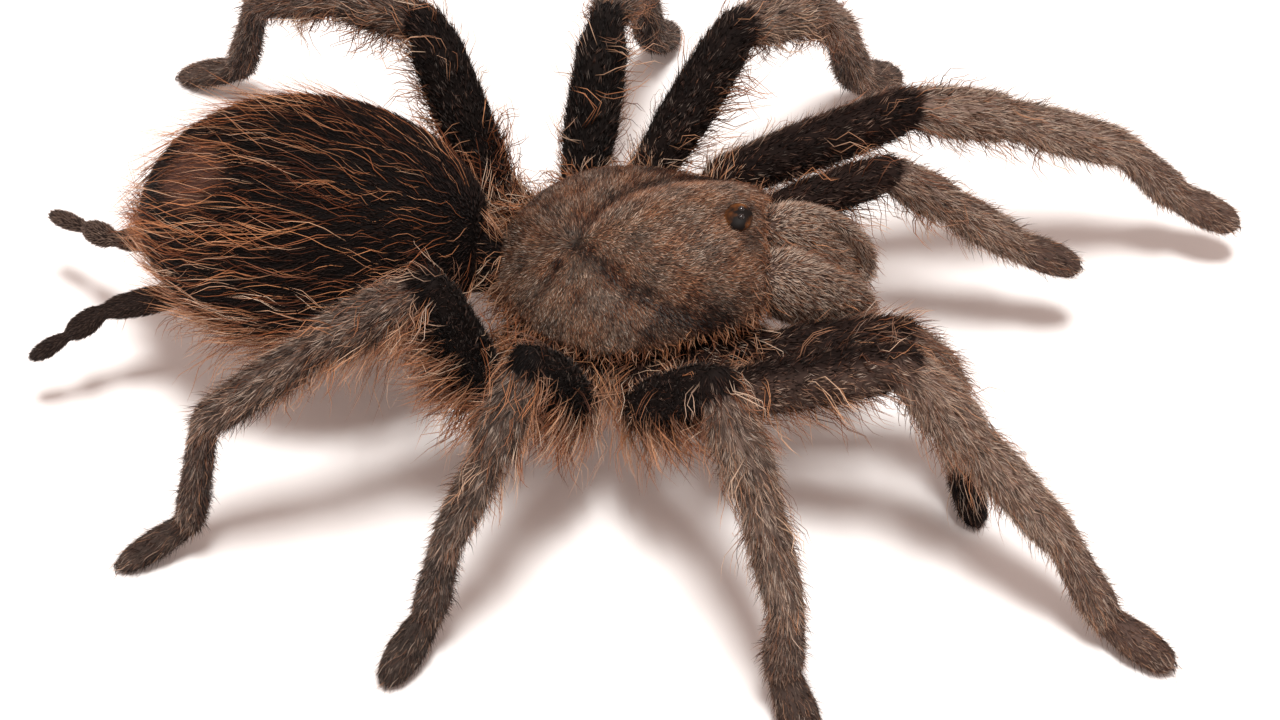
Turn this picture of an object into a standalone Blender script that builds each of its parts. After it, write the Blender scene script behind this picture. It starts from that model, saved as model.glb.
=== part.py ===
"""Aphonopelma madera, a burrowing tarantula, at life size, with one front leg and one palp held up.

The head looks along +X, the animal's left is +Y and the floor is Z = 0.
Sizes below are in millimetres and every mesh is written in metres.
"""
import math
import random

import bmesh
import bpy
from mathutils import Matrix, Vector
from mathutils.bvhtree import BVHTree

for item in list(bpy.data.objects):
    bpy.data.objects.remove(item, do_unlink=True)

MM = 0.001

# Cut between neighbouring pieces of the body
GAP = 0.3

# The whole stance is moved by this much, so that its box stands centred on the origin
STANCE_SHIFT = Vector((-1.84, -1.28, 0.0))

# Front body (prosoma): where the middle of the shield's margin plane is, and how far the head is raised
PROSOMA_CENTRE = Vector((1.15, -0.35, 14.1))
PROSOMA_PITCH = 5.0

# Carapace: length, half width at its widest, rim thickness, heights of the head dome and of the chest
CARAPACE_LENGTH = 15.5
CARAPACE_HALF_WIDTH = 6.65
CARAPACE_RIM = 0.5
HEAD_HEIGHT = 3.6
CHEST_HEIGHT = 2.0
FOVEA_X = -3.6
FOVEA_DEPTH = 0.7

# Eye mound on the head, with eight eyes in two rows
EYE_MOUND_X = 6.5
EYE_MOUND_RADII = (0.95, 1.1, 0.75)
EYE_RADIUS = 0.3

# Hip places in the shield's own frame: forward, sideways, height
HIPS = {
    "palp": (7.95, 5.0, -3.0),
    "leg1": (5.35, 8.0, -3.0),
    "leg2": (0.65, 8.7, -3.0),
    "leg3": (-3.55, 8.2, -3.0),
    "leg4": (-8.9, 7.0, -3.0),
}

# Lengths of femur, patella, tibia, metatarsus and tarsus
LENGTHS = {
    "palp": (8.0, 5.2, 5.9, 4.7),
    "leg1": (12.0, 6.6, 8.7, 6.9, 4.9),
    "leg2": (10.9, 6.4, 7.3, 6.9, 4.9),
    "leg3": (9.9, 5.8, 6.3, 7.6, 4.9),
    "leg4": (12.5, 6.6, 9.5, 11.0, 5.5),
}

# Half thickness of the same segments, short fur included
RADII = {
    "palp": (1.4, 1.35, 1.25, 1.15),
    "leg1": (1.8, 1.75, 1.5, 1.2, 1.2),
    "leg2": (1.8, 1.7, 1.4, 1.25, 1.3),
    "leg3": (1.85, 1.5, 1.25, 1.1, 1.2),
    "leg4": (1.9, 1.6, 1.35, 1.0, 1.0),
}

# Pose: heading and slope of each segment in degrees, from the hip outwards
POSE = {
    "right_palp": ((0, 16), (-13, -51), (-56, -73), (-62, -52)),
    "left_palp": ((3, 30), (2, -40), (0, -42), (-4, -26)),
    "right_leg1": ((-11, 32), (-22, -47), (-32, -39), (-30, -58), (-32, -16)),
    "left_leg1": ((8, 24), (9, -21), (6, -29), (6, -54), (-11, -30)),
    "right_leg2": ((-46, 56), (-61, -41), (-66, -52), (-74, -88), (-65, -30)),
    "left_leg2": ((43, 50), (40, -22), (59, -56), (50, -71), (41, -38)),
    "right_leg3": ((-125, 66), (-118, -41), (-137, -57), (-155, -78), (-127, -30)),
    "left_leg3": ((78, 50), (80, -25), (77, -48), (71, -76), (67, -44)),
    "right_leg4": ((-154, 76), (-158, -19), (-169, -40), (-175, -79), (-157, -26)),
    "left_leg4": ((130, 60), (148, -14), (143, -37), (130, -70), (163, -30)),
}

# How much of each pad is worn flat against the floor, and how high the limbs that are held up end
SOLE_DEPTH = 0.15
RAISED_TIPS = {"left_leg1": 3.6, "left_palp": 6.5}

# Chelicerae: middle line and half sizes from the shield's front edge to the fang
CHELICERA_X = (7.95, 9.5, 11.15, 12.4, 13.05)
CHELICERA_Z = (-0.9, -1.1, -2.1, -3.6, -5.0)
CHELICERA_SIDE = (1.78, 1.86, 1.84, 1.72, 1.58)
CHELICERA_HALF_WIDTH = (1.45, 1.68, 1.68, 1.5, 0.95)
CHELICERA_HALF_HEIGHT = (2.3, 2.75, 2.65, 2.2, 1.2)
FANG_LENGTH = 4.2
FANG_RADIUS = 0.55

# Abdomen: middle, half length, half width, half height, heading and slope of its long axis
ABDOMEN_CENTRE = Vector((-17.75, 1.65, 14.0))
ABDOMEN_HALF_LENGTH = 10.9
ABDOMEN_HALF_WIDTH = 7.8
ABDOMEN_HALF_HEIGHT = 8.0
ABDOMEN_YAW = -5.7
ABDOMEN_PITCH = 2.2
ABDOMEN_FRONT_CUT = 10.1

# Spinnerets: root places, segment lengths, half thickness, heading and slope of each segment
SPINNERET_ROOTS = {"right": (-25.5, -0.4, 9.6), "left": (-25.3, 3.8, 9.5)}
SPINNERET_LENGTHS = (5.6, 2.7, 3.4)
SPINNERET_RADIUS = 0.95
SPINNERET_POSE = {
    "right": ((-170, -9), (-155, -28), (-173, -39)),
    "left": ((180, -6), (142, -20), (146, -19)),
}

# Along each segment: share of its length, share of its half thickness
FEMUR = [[(0.0, 0.98), (0.3, 1.05), (0.62, 1.04), (1.0, 0.97)]]
PATELLA = [[(0.0, 0.98), (0.5, 1.06), (1.0, 0.98)]]
TIBIA = [[(0.0, 1.0), (0.35, 1.06), (0.7, 1.02), (1.0, 0.96)]]
FOOT = [[(0.0, 0.98), (0.4, 1.0), (0.8, 1.12), (1.0, 1.04)],
        [(0.0, 1.02), (0.35, 1.08), (0.65, 1.0), (0.85, 0.82), (0.96, 0.52), (1.0, 0.2)]]
PALP_SHANK = [[(0.0, 0.98), (0.5, 1.05), (1.0, 1.0)],
              [(0.0, 1.0), (0.5, 1.05), (1.0, 0.98)]]
PALP_FOOT = [[(0.0, 1.0), (0.35, 1.08), (0.65, 1.02), (0.85, 0.82), (0.96, 0.52), (1.0, 0.2)]]

# Locks of long hair: flat and tapered, rooted under the skin and curving back along their lie
LOCK_THICKNESS = 0.56
LOCK_ROOT = 0.6
LOCK_CLEARANCE = 0.32
LOCK_SEED = 7
RNG = random.Random(LOCK_SEED)

# Along a lock: share of its length, of its width and of its thickness
LONG_LOCK = ((0.22, 1.0, 1.0), (0.5, 0.85, 0.95), (0.8, 0.5, 0.85), (1.0, 0.0, 0.0))
SHORT_LOCK = ((0.34, 0.9, 1.0), (0.7, 0.6, 0.9), (1.0, 0.0, 0.0))

# On the hind body: rows along it, locks around its widest row, length, width, lift at the root in degrees
HIND_ROWS = 10
HIND_AROUND = 11.6
HIND_LOCK_LENGTH = (5.0, 6.8)
HIND_LOCK_WIDTH = 1.9
HIND_LOCK_LIFT = (20, 34)
# On the limbs: places as (share along the segment, angle round it in degrees, 90 being its back)
LIMB_LOCK_SHARE = (0.42, 0.52)
LIMB_LOCK_LONGEST = 3.9
LIMB_LOCK_WIDTH = 0.85
LIMB_LOCK_LIFT = (16, 23)
LIMB_LOCKS = {
    "femur": ((0.14, 150), (0.18, 25), (0.42, 95), (0.44, -35), (0.46, 215)),
    "patella": ((0.14, 95), (0.20, -10), (0.20, 190), (0.52, 130)),
    "tibia": ((0.12, 90), (0.16, 200), (0.16, -20), (0.48, 140), (0.46, 35)),
    "foot": ((0.08, 90), (0.12, 200), (0.12, -20), (0.55, -90)),
    "shank": ((0.14, 60), (0.20, 150), (0.16, -70)),
}
# Under the front body: places as (hip, share out along the coxa, angle round it in degrees)
CHEST_LOCK_LENGTH = (2.8, 3.6)
CHEST_LOCK_WIDTH = 1.3
CHEST_LOCKS = (("leg1", 0.62, -60), ("leg1", 0.74, -115), ("leg2", 0.62, -60), ("leg2", 0.74, -115),
               ("leg3", 0.62, -65), ("leg3", 0.74, -115), ("leg4", 0.62, -65), ("leg4", 0.72, -110))

SIDES = 9
BODY_COLOUR = (0.045, 0.032, 0.024)
LEG_COLOUR = (0.06, 0.045, 0.036)
SHIELD_COLOUR = (0.13, 0.095, 0.062)
FANG_COLOUR = (0.01, 0.008, 0.007)


def make_material(name, colour, roughness):
    """Return a Principled material of one colour."""
    material = bpy.data.materials.new(name)
    material.use_nodes = True
    shader = material.node_tree.nodes["Principled BSDF"]
    shader.inputs["Base Color"].default_value = (*colour, 1.0)
    shader.inputs["Roughness"].default_value = roughness
    shader.inputs["Metallic"].default_value = 0.0
    return material


def add_object(name, mesh_data, colour, roughness=0.75, parent=None):
    """Make an object from (vertices in mm, faces), with its own material."""
    vertices, faces = mesh_data
    mesh = bpy.data.meshes.new(name)
    mesh.from_pydata([Vector(v) * MM for v in vertices], [], faces)
    mesh.update()
    shape = bmesh.new()
    shape.from_mesh(mesh)
    bmesh.ops.recalc_face_normals(shape, faces=shape.faces)
    shape.to_mesh(mesh)
    shape.free()
    mesh.shade_smooth()
    mesh.materials.append(make_material(name + "_finish", colour, roughness))
    obj = bpy.data.objects.new(name, mesh)
    bpy.context.scene.collection.objects.link(obj)
    obj.parent = parent
    return obj


def direction(yaw, pitch):
    """Unit vector from a heading and a slope in degrees."""
    y, p = math.radians(yaw), math.radians(pitch)
    return Vector((math.cos(y) * math.cos(p), math.sin(y) * math.cos(p), math.sin(p)))


def smooth(stations, values, x):
    """Value at x on an even curve through the stations."""
    if x <= stations[0]:
        return values[0]
    if x >= stations[-1]:
        return values[-1]
    k = max(i for i in range(len(stations) - 1) if stations[i] <= x)
    x0, x1 = stations[k], stations[k + 1]
    t = (x - x0) / (x1 - x0)
    before = values[k - 1] if k else 2 * values[0] - values[1]
    after = values[k + 2] if k + 2 < len(values) else 2 * values[-1] - values[-2]
    a, b = values[k], values[k + 1]
    slope_a, slope_b = (b - before) / 2, (after - a) / 2
    t2, t3 = t * t, t * t * t
    return (2 * t3 - 3 * t2 + 1) * a + (t3 - 2 * t2 + t) * slope_a + (3 * t2 - 2 * t3) * b + (t3 - t2) * slope_b


def ring(centre, normal, side, half_width, half_height, sides=SIDES, flat=0.0):
    """Points of an oval section across the normal; flat lowers its underside's bulge."""
    up = side.cross(normal).normalized()
    across = normal.cross(up).normalized()
    points = []
    for i in range(sides):
        angle = 2 * math.pi * (i + 0.5) / sides
        rise = math.sin(angle)
        rise = rise * (1 - flat) if rise < 0 else rise
        points.append(centre + across * (math.cos(angle) * half_width) + up * (rise * half_height))
    return points


def skin_rings(rings):
    """Join rings of equal count into a closed body with a cap at each end."""
    n = len(rings[0])
    vertices = [p for r in rings for p in r]
    faces = []
    for k in range(len(rings) - 1):
        for i in range(n):
            j = (i + 1) % n
            faces.append((k * n + i, k * n + j, (k + 1) * n + j, (k + 1) * n + i))
    faces.append(tuple(reversed(range(n))))
    faces.append(tuple((len(rings) - 1) * n + i for i in range(n)))
    return vertices, faces


def resting_tip_height(kind, pitch):
    """Height of a foot's last point that lets its pad press on the floor."""
    slope = math.radians(-pitch)
    radius, length = RADII[kind][-1], LENGTHS[kind][-1]
    profile = (PALP_FOOT if kind == "palp" else FOOT)[-1]
    lows = [radius * swell * math.cos(slope) - (1 - share) * length * math.sin(slope) for share, swell in profile]
    return max(lows) - SOLE_DEPTH


def lock_body(base, lie, normal, length, width, lift, sway=0.0, profile=LONG_LOCK):
    """A flat lock with a three-sided section: a root ring, rings along its curve, and its tip."""
    lie = (lie - normal * lie.dot(normal)).normalized()
    side = normal.cross(lie).normalized()
    lift = math.radians(lift)
    bend = 0.42 * math.sin(lift)
    rings = [(base - normal * LOCK_ROOT, lie, width * 0.8, LOCK_THICKNESS)]
    for s, w, t in profile:
        spot = base + (lie * math.cos(lift) + normal * (math.sin(lift) - bend * s)) * (s * length)
        spot += side * (sway * s * s * length)
        way = (lie * math.cos(lift) + normal * (math.sin(lift) - 2 * bend * s) + side * (2 * sway * s)).normalized()
        rings.append((spot, way, width * w, LOCK_THICKNESS * t))
    vertices, faces = [], []
    for spot, way, w, t in rings[:-1]:
        across = normal.cross(way).normalized()
        up = way.cross(across).normalized()
        vertices += [spot - across * (w / 2) - up * (t * 0.33), spot + across * (w / 2) - up * (t * 0.33),
                     spot + up * (t * 0.67)]
    last = 3 * (len(rings) - 2)
    for k in range(0, last, 3):
        for i in range(3):
            j = (i + 1) % 3
            faces.append((k + i, k + j, k + 3 + j, k + 3 + i))
    vertices.append(rings[-1][0])
    faces += [(last + i, last + (i + 1) % 3, last + 3) for i in range(3)]
    faces.append((2, 1, 0))
    line = [(spot, w) for spot, _, w, _ in rings[1:]]
    return (vertices, faces), line


class Neighbours:
    """The closed surfaces of all nodes and the locks placed so far, to keep new locks clear of them."""

    def __init__(self):
        self.trees = {}
        self.locks = []
        for obj in bpy.data.objects:
            if obj.type != "MESH":
                continue
            points = [obj.matrix_world @ v.co / MM for v in obj.data.vertices]
            faces = [tuple(p.vertices) for p in obj.data.polygons]
            self.trees[obj.name] = (BVHTree.FromPolygons(points, faces), self.box(points))

    @staticmethod
    def box(points):
        """Corners of a box 3 mm larger than the points all round."""
        low = Vector([min(p[i] for p in points) - 3 for i in range(3)])
        high = Vector([max(p[i] for p in points) + 3 for i in range(3)])
        return low, high

    def clear(self, node, line, matrix, floor=0.3):
        """True where a lock's middle line, given in matrix's frame, is clear of every other node."""
        spots = []
        for (a, wa), (b, wb) in zip(line, line[1:]):
            for t in (0.0, 0.5):
                spots.append((matrix @ a.lerp(b, t), max(0.12, 0.5 * (wa + (wb - wa) * t))))
        spots.append((matrix @ line[-1][0], 0.1))
        for spot, half in spots:
            if spot.z < floor + 0.2:
                return False
            for name, (tree, (low, high)) in self.trees.items():
                if name == node or any(spot[i] < low[i] or spot[i] > high[i] for i in range(3)):
                    continue
                near, normal, _, distance = tree.find_nearest(spot)
                if distance < half + LOCK_CLEARANCE or (spot - near).dot(normal) < 0:
                    return False
            for other, other_spot, other_half in self.locks:
                if other != node and (spot - other_spot).length < half + other_half + LOCK_CLEARANCE:
                    return False
        self.locks += [(node, spot, half) for spot, half in spots]
        return True


def grow_locks(obj, wanted, neighbours, profile=LONG_LOCK):
    """Fuse the wanted locks that stay clear of the other nodes into a body.

    wanted holds (base, lie, normal, length, width, lift, sway) in the object's own frame, in mm.
    """
    matrix = obj.matrix_world.copy()
    matrix.translation = matrix.translation / MM
    pieces = []
    for spec in wanted:
        base, lie, normal, length, width, lift, sway = spec
        for shrink, turn in ((1.0, 0.0), (0.85, 0.0), (0.85, 0.35), (0.85, -0.35), (0.7, 0.0)):
            side = normal.cross(lie).normalized()
            data, line = lock_body(base, lie + side * turn, normal, length * shrink, width * (0.6 + 0.4 * shrink),
                                   lift, sway, profile)
            if neighbours.clear(obj.name, line, matrix):
                piece = add_object(obj.name + "_lock", data, LEG_COLOUR, 0.8)
                piece.matrix_world = obj.matrix_world.copy()
                pieces.append(piece)
                break
    if pieces:
        bpy.context.view_layer.update()
        fuse(obj, pieces)


def chain_joints(limb, hip):
    """Joint places of a limb from its pose, eased so that the last one is at its height."""
    kind = limb.split("_")[1]
    joints = [hip]
    for length, (yaw, pitch) in zip(LENGTHS[kind], POSE[limb]):
        joints.append(joints[-1] + direction(yaw, pitch) * length)
    height = RAISED_TIPS[limb] if limb in RAISED_TIPS else resting_tip_height(kind, POSE[limb][-1][1])
    lift = height - joints[-1].z
    for k, joint in enumerate(joints):
        joint.z += lift * k / (len(joints) - 1)
    return joints


def limb_segment(joints, first, last, radii, side, entry=None, profile=None, blunt=False):
    """Rings from one joint to another, cut half a gap short of each, mitred where the limb bends.

    profile gives (share of the length, share of the radius) between the cuts, for each segment.
    """
    ways = [(b - a).normalized() for a, b in zip(joints, joints[1:])]

    def joint_ring(k, shift):
        before = ways[k - 1] if k > 0 else (entry or ways[0])
        after = ways[k] if k < len(ways) else ways[-1]
        normal = (before + after).normalized()
        half_bend = before.angle(after, 0.0) / 2
        stretch = min(1.28, (1 / math.cos(half_bend)) ** 0.75)
        inner = radii[max(k - 1, 0)]
        outer = radii[min(k, len(radii) - 1)]
        r = 0.5 * (inner + outer) * 0.93
        return ring(joints[k] + normal * shift, normal, side, r, r * stretch), half_bend, r

    rings = []
    for k in range(first, last):
        start, bend_a, r_a = joint_ring(k, GAP / 2 if k == first else 0.0)
        rings.append(start)
        length = (joints[k + 1] - joints[k]).length
        final = k == last - 1 and k == len(ways) - 1
        end, bend_b, r_b = joint_ring(k + 1, -GAP / 2) if not final else (None, 0.0, radii[k])
        low = (radii[k] * 1.1 * math.tan(bend_a) + 0.45) / length
        high = 1 - ((radii[k] * 1.1 * math.tan(bend_b) + 0.45) / length if end else 0.0)
        for share, swell in profile[k - first]:
            t = low + (high - low) * share
            rings.append(ring(joints[k].lerp(joints[k + 1], t), ways[k], side,
                              radii[k] * swell, radii[k] * swell))
        if final and blunt:
            continue
        if k == last - 1:
            rings.append(end)
    return skin_rings(rings)


def clip_below(obj, height):
    """Cut away what is below a level, leaving a flat sole."""
    shape = bmesh.new()
    shape.from_mesh(obj.data)
    cut = bmesh.ops.bisect_plane(
        shape, geom=shape.verts[:] + shape.edges[:] + shape.faces[:], dist=1e-7,
        plane_co=(0, 0, height * MM), plane_no=(0, 0, -1), clear_outer=True)
    edges = [e for e in cut["geom_cut"] if isinstance(e, bmesh.types.BMEdge)]
    if edges:
        bmesh.ops.contextual_create(shape, geom=edges)
    bmesh.ops.recalc_face_normals(shape, faces=shape.faces)
    shape.to_mesh(obj.data)
    shape.free()


def limb_side(joints):
    """Level direction across a limb, from its hip-to-tip heading."""
    heading = joints[-1] - joints[0]
    heading.z = 0.0
    return Vector((-heading.y, heading.x, 0.0)).normalized() * -1.0


def prosoma_matrix():
    """Placement of the front body in the world, in millimetres."""
    return Matrix.Translation(PROSOMA_CENTRE) @ Matrix.Rotation(math.radians(-PROSOMA_PITCH), 4, "Y")


def coxa_entry(kind, sign):
    """World direction in which a hip segment leaves the chest."""
    hip = HIPS[kind]
    inner = Vector((hip[0] * 0.5, sign * 2.6, hip[2] - 0.6))
    way = Vector((hip[0], sign * hip[1], hip[2])) - inner
    return (prosoma_matrix().to_3x3() @ way).normalized()


def build_limbs(root):
    """Eight legs and two palps, each split at its joints."""
    frame = prosoma_matrix()
    chains = {}
    for limb in POSE:
        side_name, kind = limb.split("_")
        sign = 1.0 if side_name == "left" else -1.0
        forward, sideways, height = HIPS[kind]
        hip = frame @ Vector((forward, sign * sideways, height))
        joints = chain_joints(limb, hip)
        chains[limb] = joints
        side = limb_side(joints)
        radii = RADII[kind]
        entry = coxa_entry(kind, sign)
        if kind == "palp":
            parts = (("femur", 0, 1, FEMUR, False), ("patella_tibia", 1, 3, PALP_SHANK, False),
                     ("tarsus", 3, 4, PALP_FOOT, True))
        else:
            parts = (("femur", 0, 1, FEMUR, False), ("patella", 1, 2, PATELLA, False),
                     ("tibia", 2, 3, TIBIA, False), ("foot", 3, 5, FOOT, True))
        for part, first, last, profile, blunt in parts:
            data = limb_segment(joints, first, last, radii, side, entry, profile, blunt)
            obj = add_object(f"{limb}_{part}", data, LEG_COLOUR, 0.8, root)
            if blunt and limb not in RAISED_TIPS:
                clip_below(obj, 0.0)
    return chains


def carapace_half_width(x):
    """Half width of the shield at a place along it."""
    u = (x + CARAPACE_LENGTH / 2) / CARAPACE_LENGTH
    stations = (0.0, 0.05, 0.15, 0.3, 0.45, 0.6, 0.75, 0.88, 0.96, 1.0)
    shares = (0.30, 0.50, 0.76, 0.95, 1.0, 0.96, 0.86, 0.78, 0.71, 0.60)
    return CARAPACE_HALF_WIDTH * smooth(stations, shares, u)


def carapace_height(x, y):
    """Height of the shield's top over its margin plane."""
    u = (x + CARAPACE_LENGTH / 2) / CARAPACE_LENGTH
    half = carapace_half_width(x)
    across = min(1.0, abs(y) / half)
    chest = CHEST_HEIGHT * smooth((0.0, 0.1, 0.3, 0.6, 1.0), (0.15, 0.6, 1.0, 1.0, 0.6), u)
    height = chest * (1 - across ** 2.4) ** 0.75
    head = HEAD_HEIGHT * smooth((0.25, 0.4, 0.6, 0.8, 0.93, 1.0), (0.0, 0.16, 0.46, 0.62, 0.58, 0.30), u)
    head_half = smooth((0.25, 0.45, 0.7, 0.9, 1.0), (1.2, 3.0, 4.3, 4.7, 4.4), u)
    height += head * (1 - min(1.0, abs(y) / head_half) ** 2.2)
    pit = math.hypot((x - FOVEA_X) / 0.9, y / 1.5)
    height -= FOVEA_DEPTH * math.exp(-pit * pit)
    return max(height, 0.0)


def build_carapace(parent):
    """Domed shield with a raised head, a pit behind it, and a socket for the eye mound."""
    rows, columns = 20, 13
    half_length = CARAPACE_LENGTH / 2
    vertices, faces = [], []
    for i in range(rows + 1):
        u = i / rows
        x = -half_length * math.cos(math.pi * u) * 0.35 + (2 * u - 1) * half_length * 0.65
        half = carapace_half_width(x)
        for j in range(columns + 1):
            v = math.sin(math.pi / 2 * (2 * j / columns - 1))
            vertices.append((x, v * half, carapace_height(x, v * half)))
    width = columns + 1
    for i in range(rows):
        for j in range(columns):
            a = i * width + j
            faces.append((a, a + width, a + width + 1, a + 1))
    edge = [j for j in range(width)]
    edge += [i * width + columns for i in range(1, rows + 1)]
    edge += [rows * width + j for j in range(columns - 1, -1, -1)]
    edge += [i * width for i in range(rows - 1, 0, -1)]
    start = len(vertices)
    for k in edge:
        x, y, _ = vertices[k]
        vertices.append((x, y, -CARAPACE_RIM))
    count = len(edge)
    for k in range(count):
        n = (k + 1) % count
        faces.append((edge[k], edge[n], start + n, start + k))
    faces.append(tuple(start + k for k in range(count)))
    shield = add_object("carapace", (vertices, faces), SHIELD_COLOUR, 0.6, parent)
    centre = eye_mound_centre()
    rx, ry, rz = EYE_MOUND_RADII
    cutter = add_object("eye_socket_cutter", ellipsoid(centre, (rx + GAP, ry + GAP, rz + GAP), 16, 8),
                        SHIELD_COLOUR, 0.6, parent)
    fuse(shield, [cutter], "DIFFERENCE")
    return shield


def ellipsoid(centre, radii, around, stacks):
    """Closed ball of given half sizes."""
    cx, cy, cz = centre
    rx, ry, rz = radii
    vertices = [(cx, cy, cz - rz)]
    for s in range(1, stacks):
        a = math.pi * s / stacks
        for i in range(around):
            b = 2 * math.pi * i / around
            vertices.append((cx + rx * math.sin(a) * math.cos(b), cy + ry * math.sin(a) * math.sin(b),
                             cz - rz * math.cos(a)))
    vertices.append((cx, cy, cz + rz))
    top = len(vertices) - 1
    faces = []
    for i in range(around):
        j = (i + 1) % around
        faces.append((0, 1 + j, 1 + i))
        for s in range(stacks - 2):
            a = 1 + s * around
            faces.append((a + i, a + j, a + around + j, a + around + i))
        a = 1 + (stacks - 2) * around
        faces.append((a + i, a + j, top))
    return vertices, faces


def fuse(base, others, operation="UNION", solver="EXACT"):
    """Join or cut a body with a collection of closed bodies, and keep its largest closed surface."""
    group = bpy.data.collections.new(base.name + "_pieces")
    bpy.context.scene.collection.children.link(group)
    for piece in others:
        bpy.context.scene.collection.objects.unlink(piece)
        group.objects.link(piece)
    modifier = base.modifiers.new("fuse", "BOOLEAN")
    modifier.operation = operation
    modifier.operand_type = "COLLECTION"
    modifier.collection = group
    modifier.solver = solver
    bpy.context.view_layer.update()
    depsgraph = bpy.context.evaluated_depsgraph_get()
    mesh = bpy.data.meshes.new_from_object(base.evaluated_get(depsgraph))
    base.modifiers.clear()
    materials = [m for m in base.data.materials][:1]
    base.data = mesh
    mesh.materials.clear()
    for material in materials:
        mesh.materials.append(material)
    mesh.polygons.foreach_set("material_index", [0] * len(mesh.polygons))
    for piece in others:
        bpy.data.objects.remove(piece, do_unlink=True)
    bpy.data.collections.remove(group)
    keep_largest(base)


def keep_largest(obj):
    """Keep only the closed surface of the greatest volume."""
    shape = bmesh.new()
    shape.from_mesh(obj.data)
    bmesh.ops.triangulate(shape, faces=shape.faces)
    seen, shells = set(), []
    for face in shape.faces:
        if face in seen:
            continue
        shell, front = [], [face]
        seen.add(face)
        while front:
            f = front.pop()
            shell.append(f)
            for e in f.edges:
                for g in e.link_faces:
                    if g not in seen:
                        seen.add(g)
                        front.append(g)
        volume = sum(f.verts[0].co.dot(f.verts[1].co.cross(f.verts[2].co)) for f in shell)
        shells.append((abs(volume), shell))
    shells.sort(key=lambda s: s[0], reverse=True)
    spare = [f for _, shell in shells[1:] for f in shell]
    bmesh.ops.delete(shape, geom=spare, context="FACES")
    shape.to_mesh(obj.data)
    shape.free()
    obj.data.shade_smooth()


def eye_mound_centre():
    """Where the eye mound's middle lies, on the top of the head."""
    return (EYE_MOUND_X, 0.0, carapace_height(EYE_MOUND_X, 0.0) + 0.05)


def build_eyes(parent):
    """Low mound with two round front eyes, two behind them and two ovals on each side."""
    centre = eye_mound_centre()
    mound = add_object("eyes", ellipsoid(centre, EYE_MOUND_RADII, 12, 6), FANG_COLOUR, 0.2, parent)
    rx, ry, rz = EYE_MOUND_RADII
    places = ((35, 28, 1.0), (50, 74, 1.0), (128, 62, 0.75), (155, 66, 0.8))
    pieces = []
    for heading, slant, size in places:
        for sign in (1, -1):
            b, a = math.radians(heading) * sign, math.radians(slant)
            spot = (centre[0] + rx * math.sin(a) * math.cos(b), centre[1] + ry * math.sin(a) * math.sin(b),
                    centre[2] + rz * math.cos(a))
            r = EYE_RADIUS * size
            pieces.append(add_object("eye_piece", ellipsoid(spot, (r, r, r), 7, 4), FANG_COLOUR, 0.1, parent))
    fuse(mound, pieces)
    return mound


def build_chest(parent):
    """Breast plate, coxae and trochanters of all limbs, fused under the shield."""
    frame = prosoma_matrix().inverted()
    core = add_object("coxae_and_sternum", ellipsoid((-0.4, 0.0, -3.4), (6.4, 5.6, 3.2), 20, 9),
                      BODY_COLOUR, 0.8, parent)
    pieces = []
    for kind, (forward, sideways, height) in HIPS.items():
        for sign in (1.0, -1.0):
            limb = ("left_" if sign > 0 else "right_") + kind
            hip = Vector((forward, sign * sideways, height))
            inner = Vector((forward * 0.5, sign * 2.6, height - 0.6))
            way = (hip - inner).normalized()
            world_way = direction(*POSE[limb][0])
            femur_way = (frame.to_3x3() @ world_way).normalized()
            normal = (way + femur_way).normalized()
            half_bend = way.angle(femur_way) / 2
            side = frame.to_3x3() @ limb_side(CHAINS[limb])
            r = RADII[kind][0]
            stretch = min(1.28, (1 / math.cos(half_bend)) ** 0.75)
            length = (hip - inner).length
            rings = []
            for share, swell in ((0.0, 0.9), (0.35, 0.98), (0.62, 1.0)):
                share = min(share, 1 - (r * 1.1 * math.tan(half_bend) + 0.4) / length)
                rings.append(ring(inner + way * (length * share), way, side, r * swell, r * swell))
            rings[1] = ring(inner + way * (length * 0.3), way, side, r * 0.96, r * 0.96)
            rings.append(ring(hip - normal * (GAP / 2), normal, side, r * 0.93, r * 0.93 * stretch))
            pieces.append(add_object("coxa_piece", skin_rings(rings), BODY_COLOUR, 0.8, parent))
    lip = ellipsoid((6.2, 0.0, -5.0), (1.6, 1.3, 1.2), 12, 6)
    pieces.append(add_object("labium_piece", lip, BODY_COLOUR, 0.8, parent))
    fuse(core, pieces)
    level = -CARAPACE_RIM - GAP
    shape = bmesh.new()
    shape.from_mesh(core.data)
    cut = bmesh.ops.bisect_plane(
        shape, geom=shape.verts[:] + shape.edges[:] + shape.faces[:], dist=1e-7,
        plane_co=(0, 0, level * MM), plane_no=(0, 0, 1), clear_outer=True)
    edges = [e for e in cut["geom_cut"] if isinstance(e, bmesh.types.BMEdge)]
    bmesh.ops.edgenet_fill(shape, edges=edges)
    bmesh.ops.recalc_face_normals(shape, faces=shape.faces)
    shape.to_mesh(core.data)
    shape.free()
    keep_largest(core)
    return core


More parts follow.
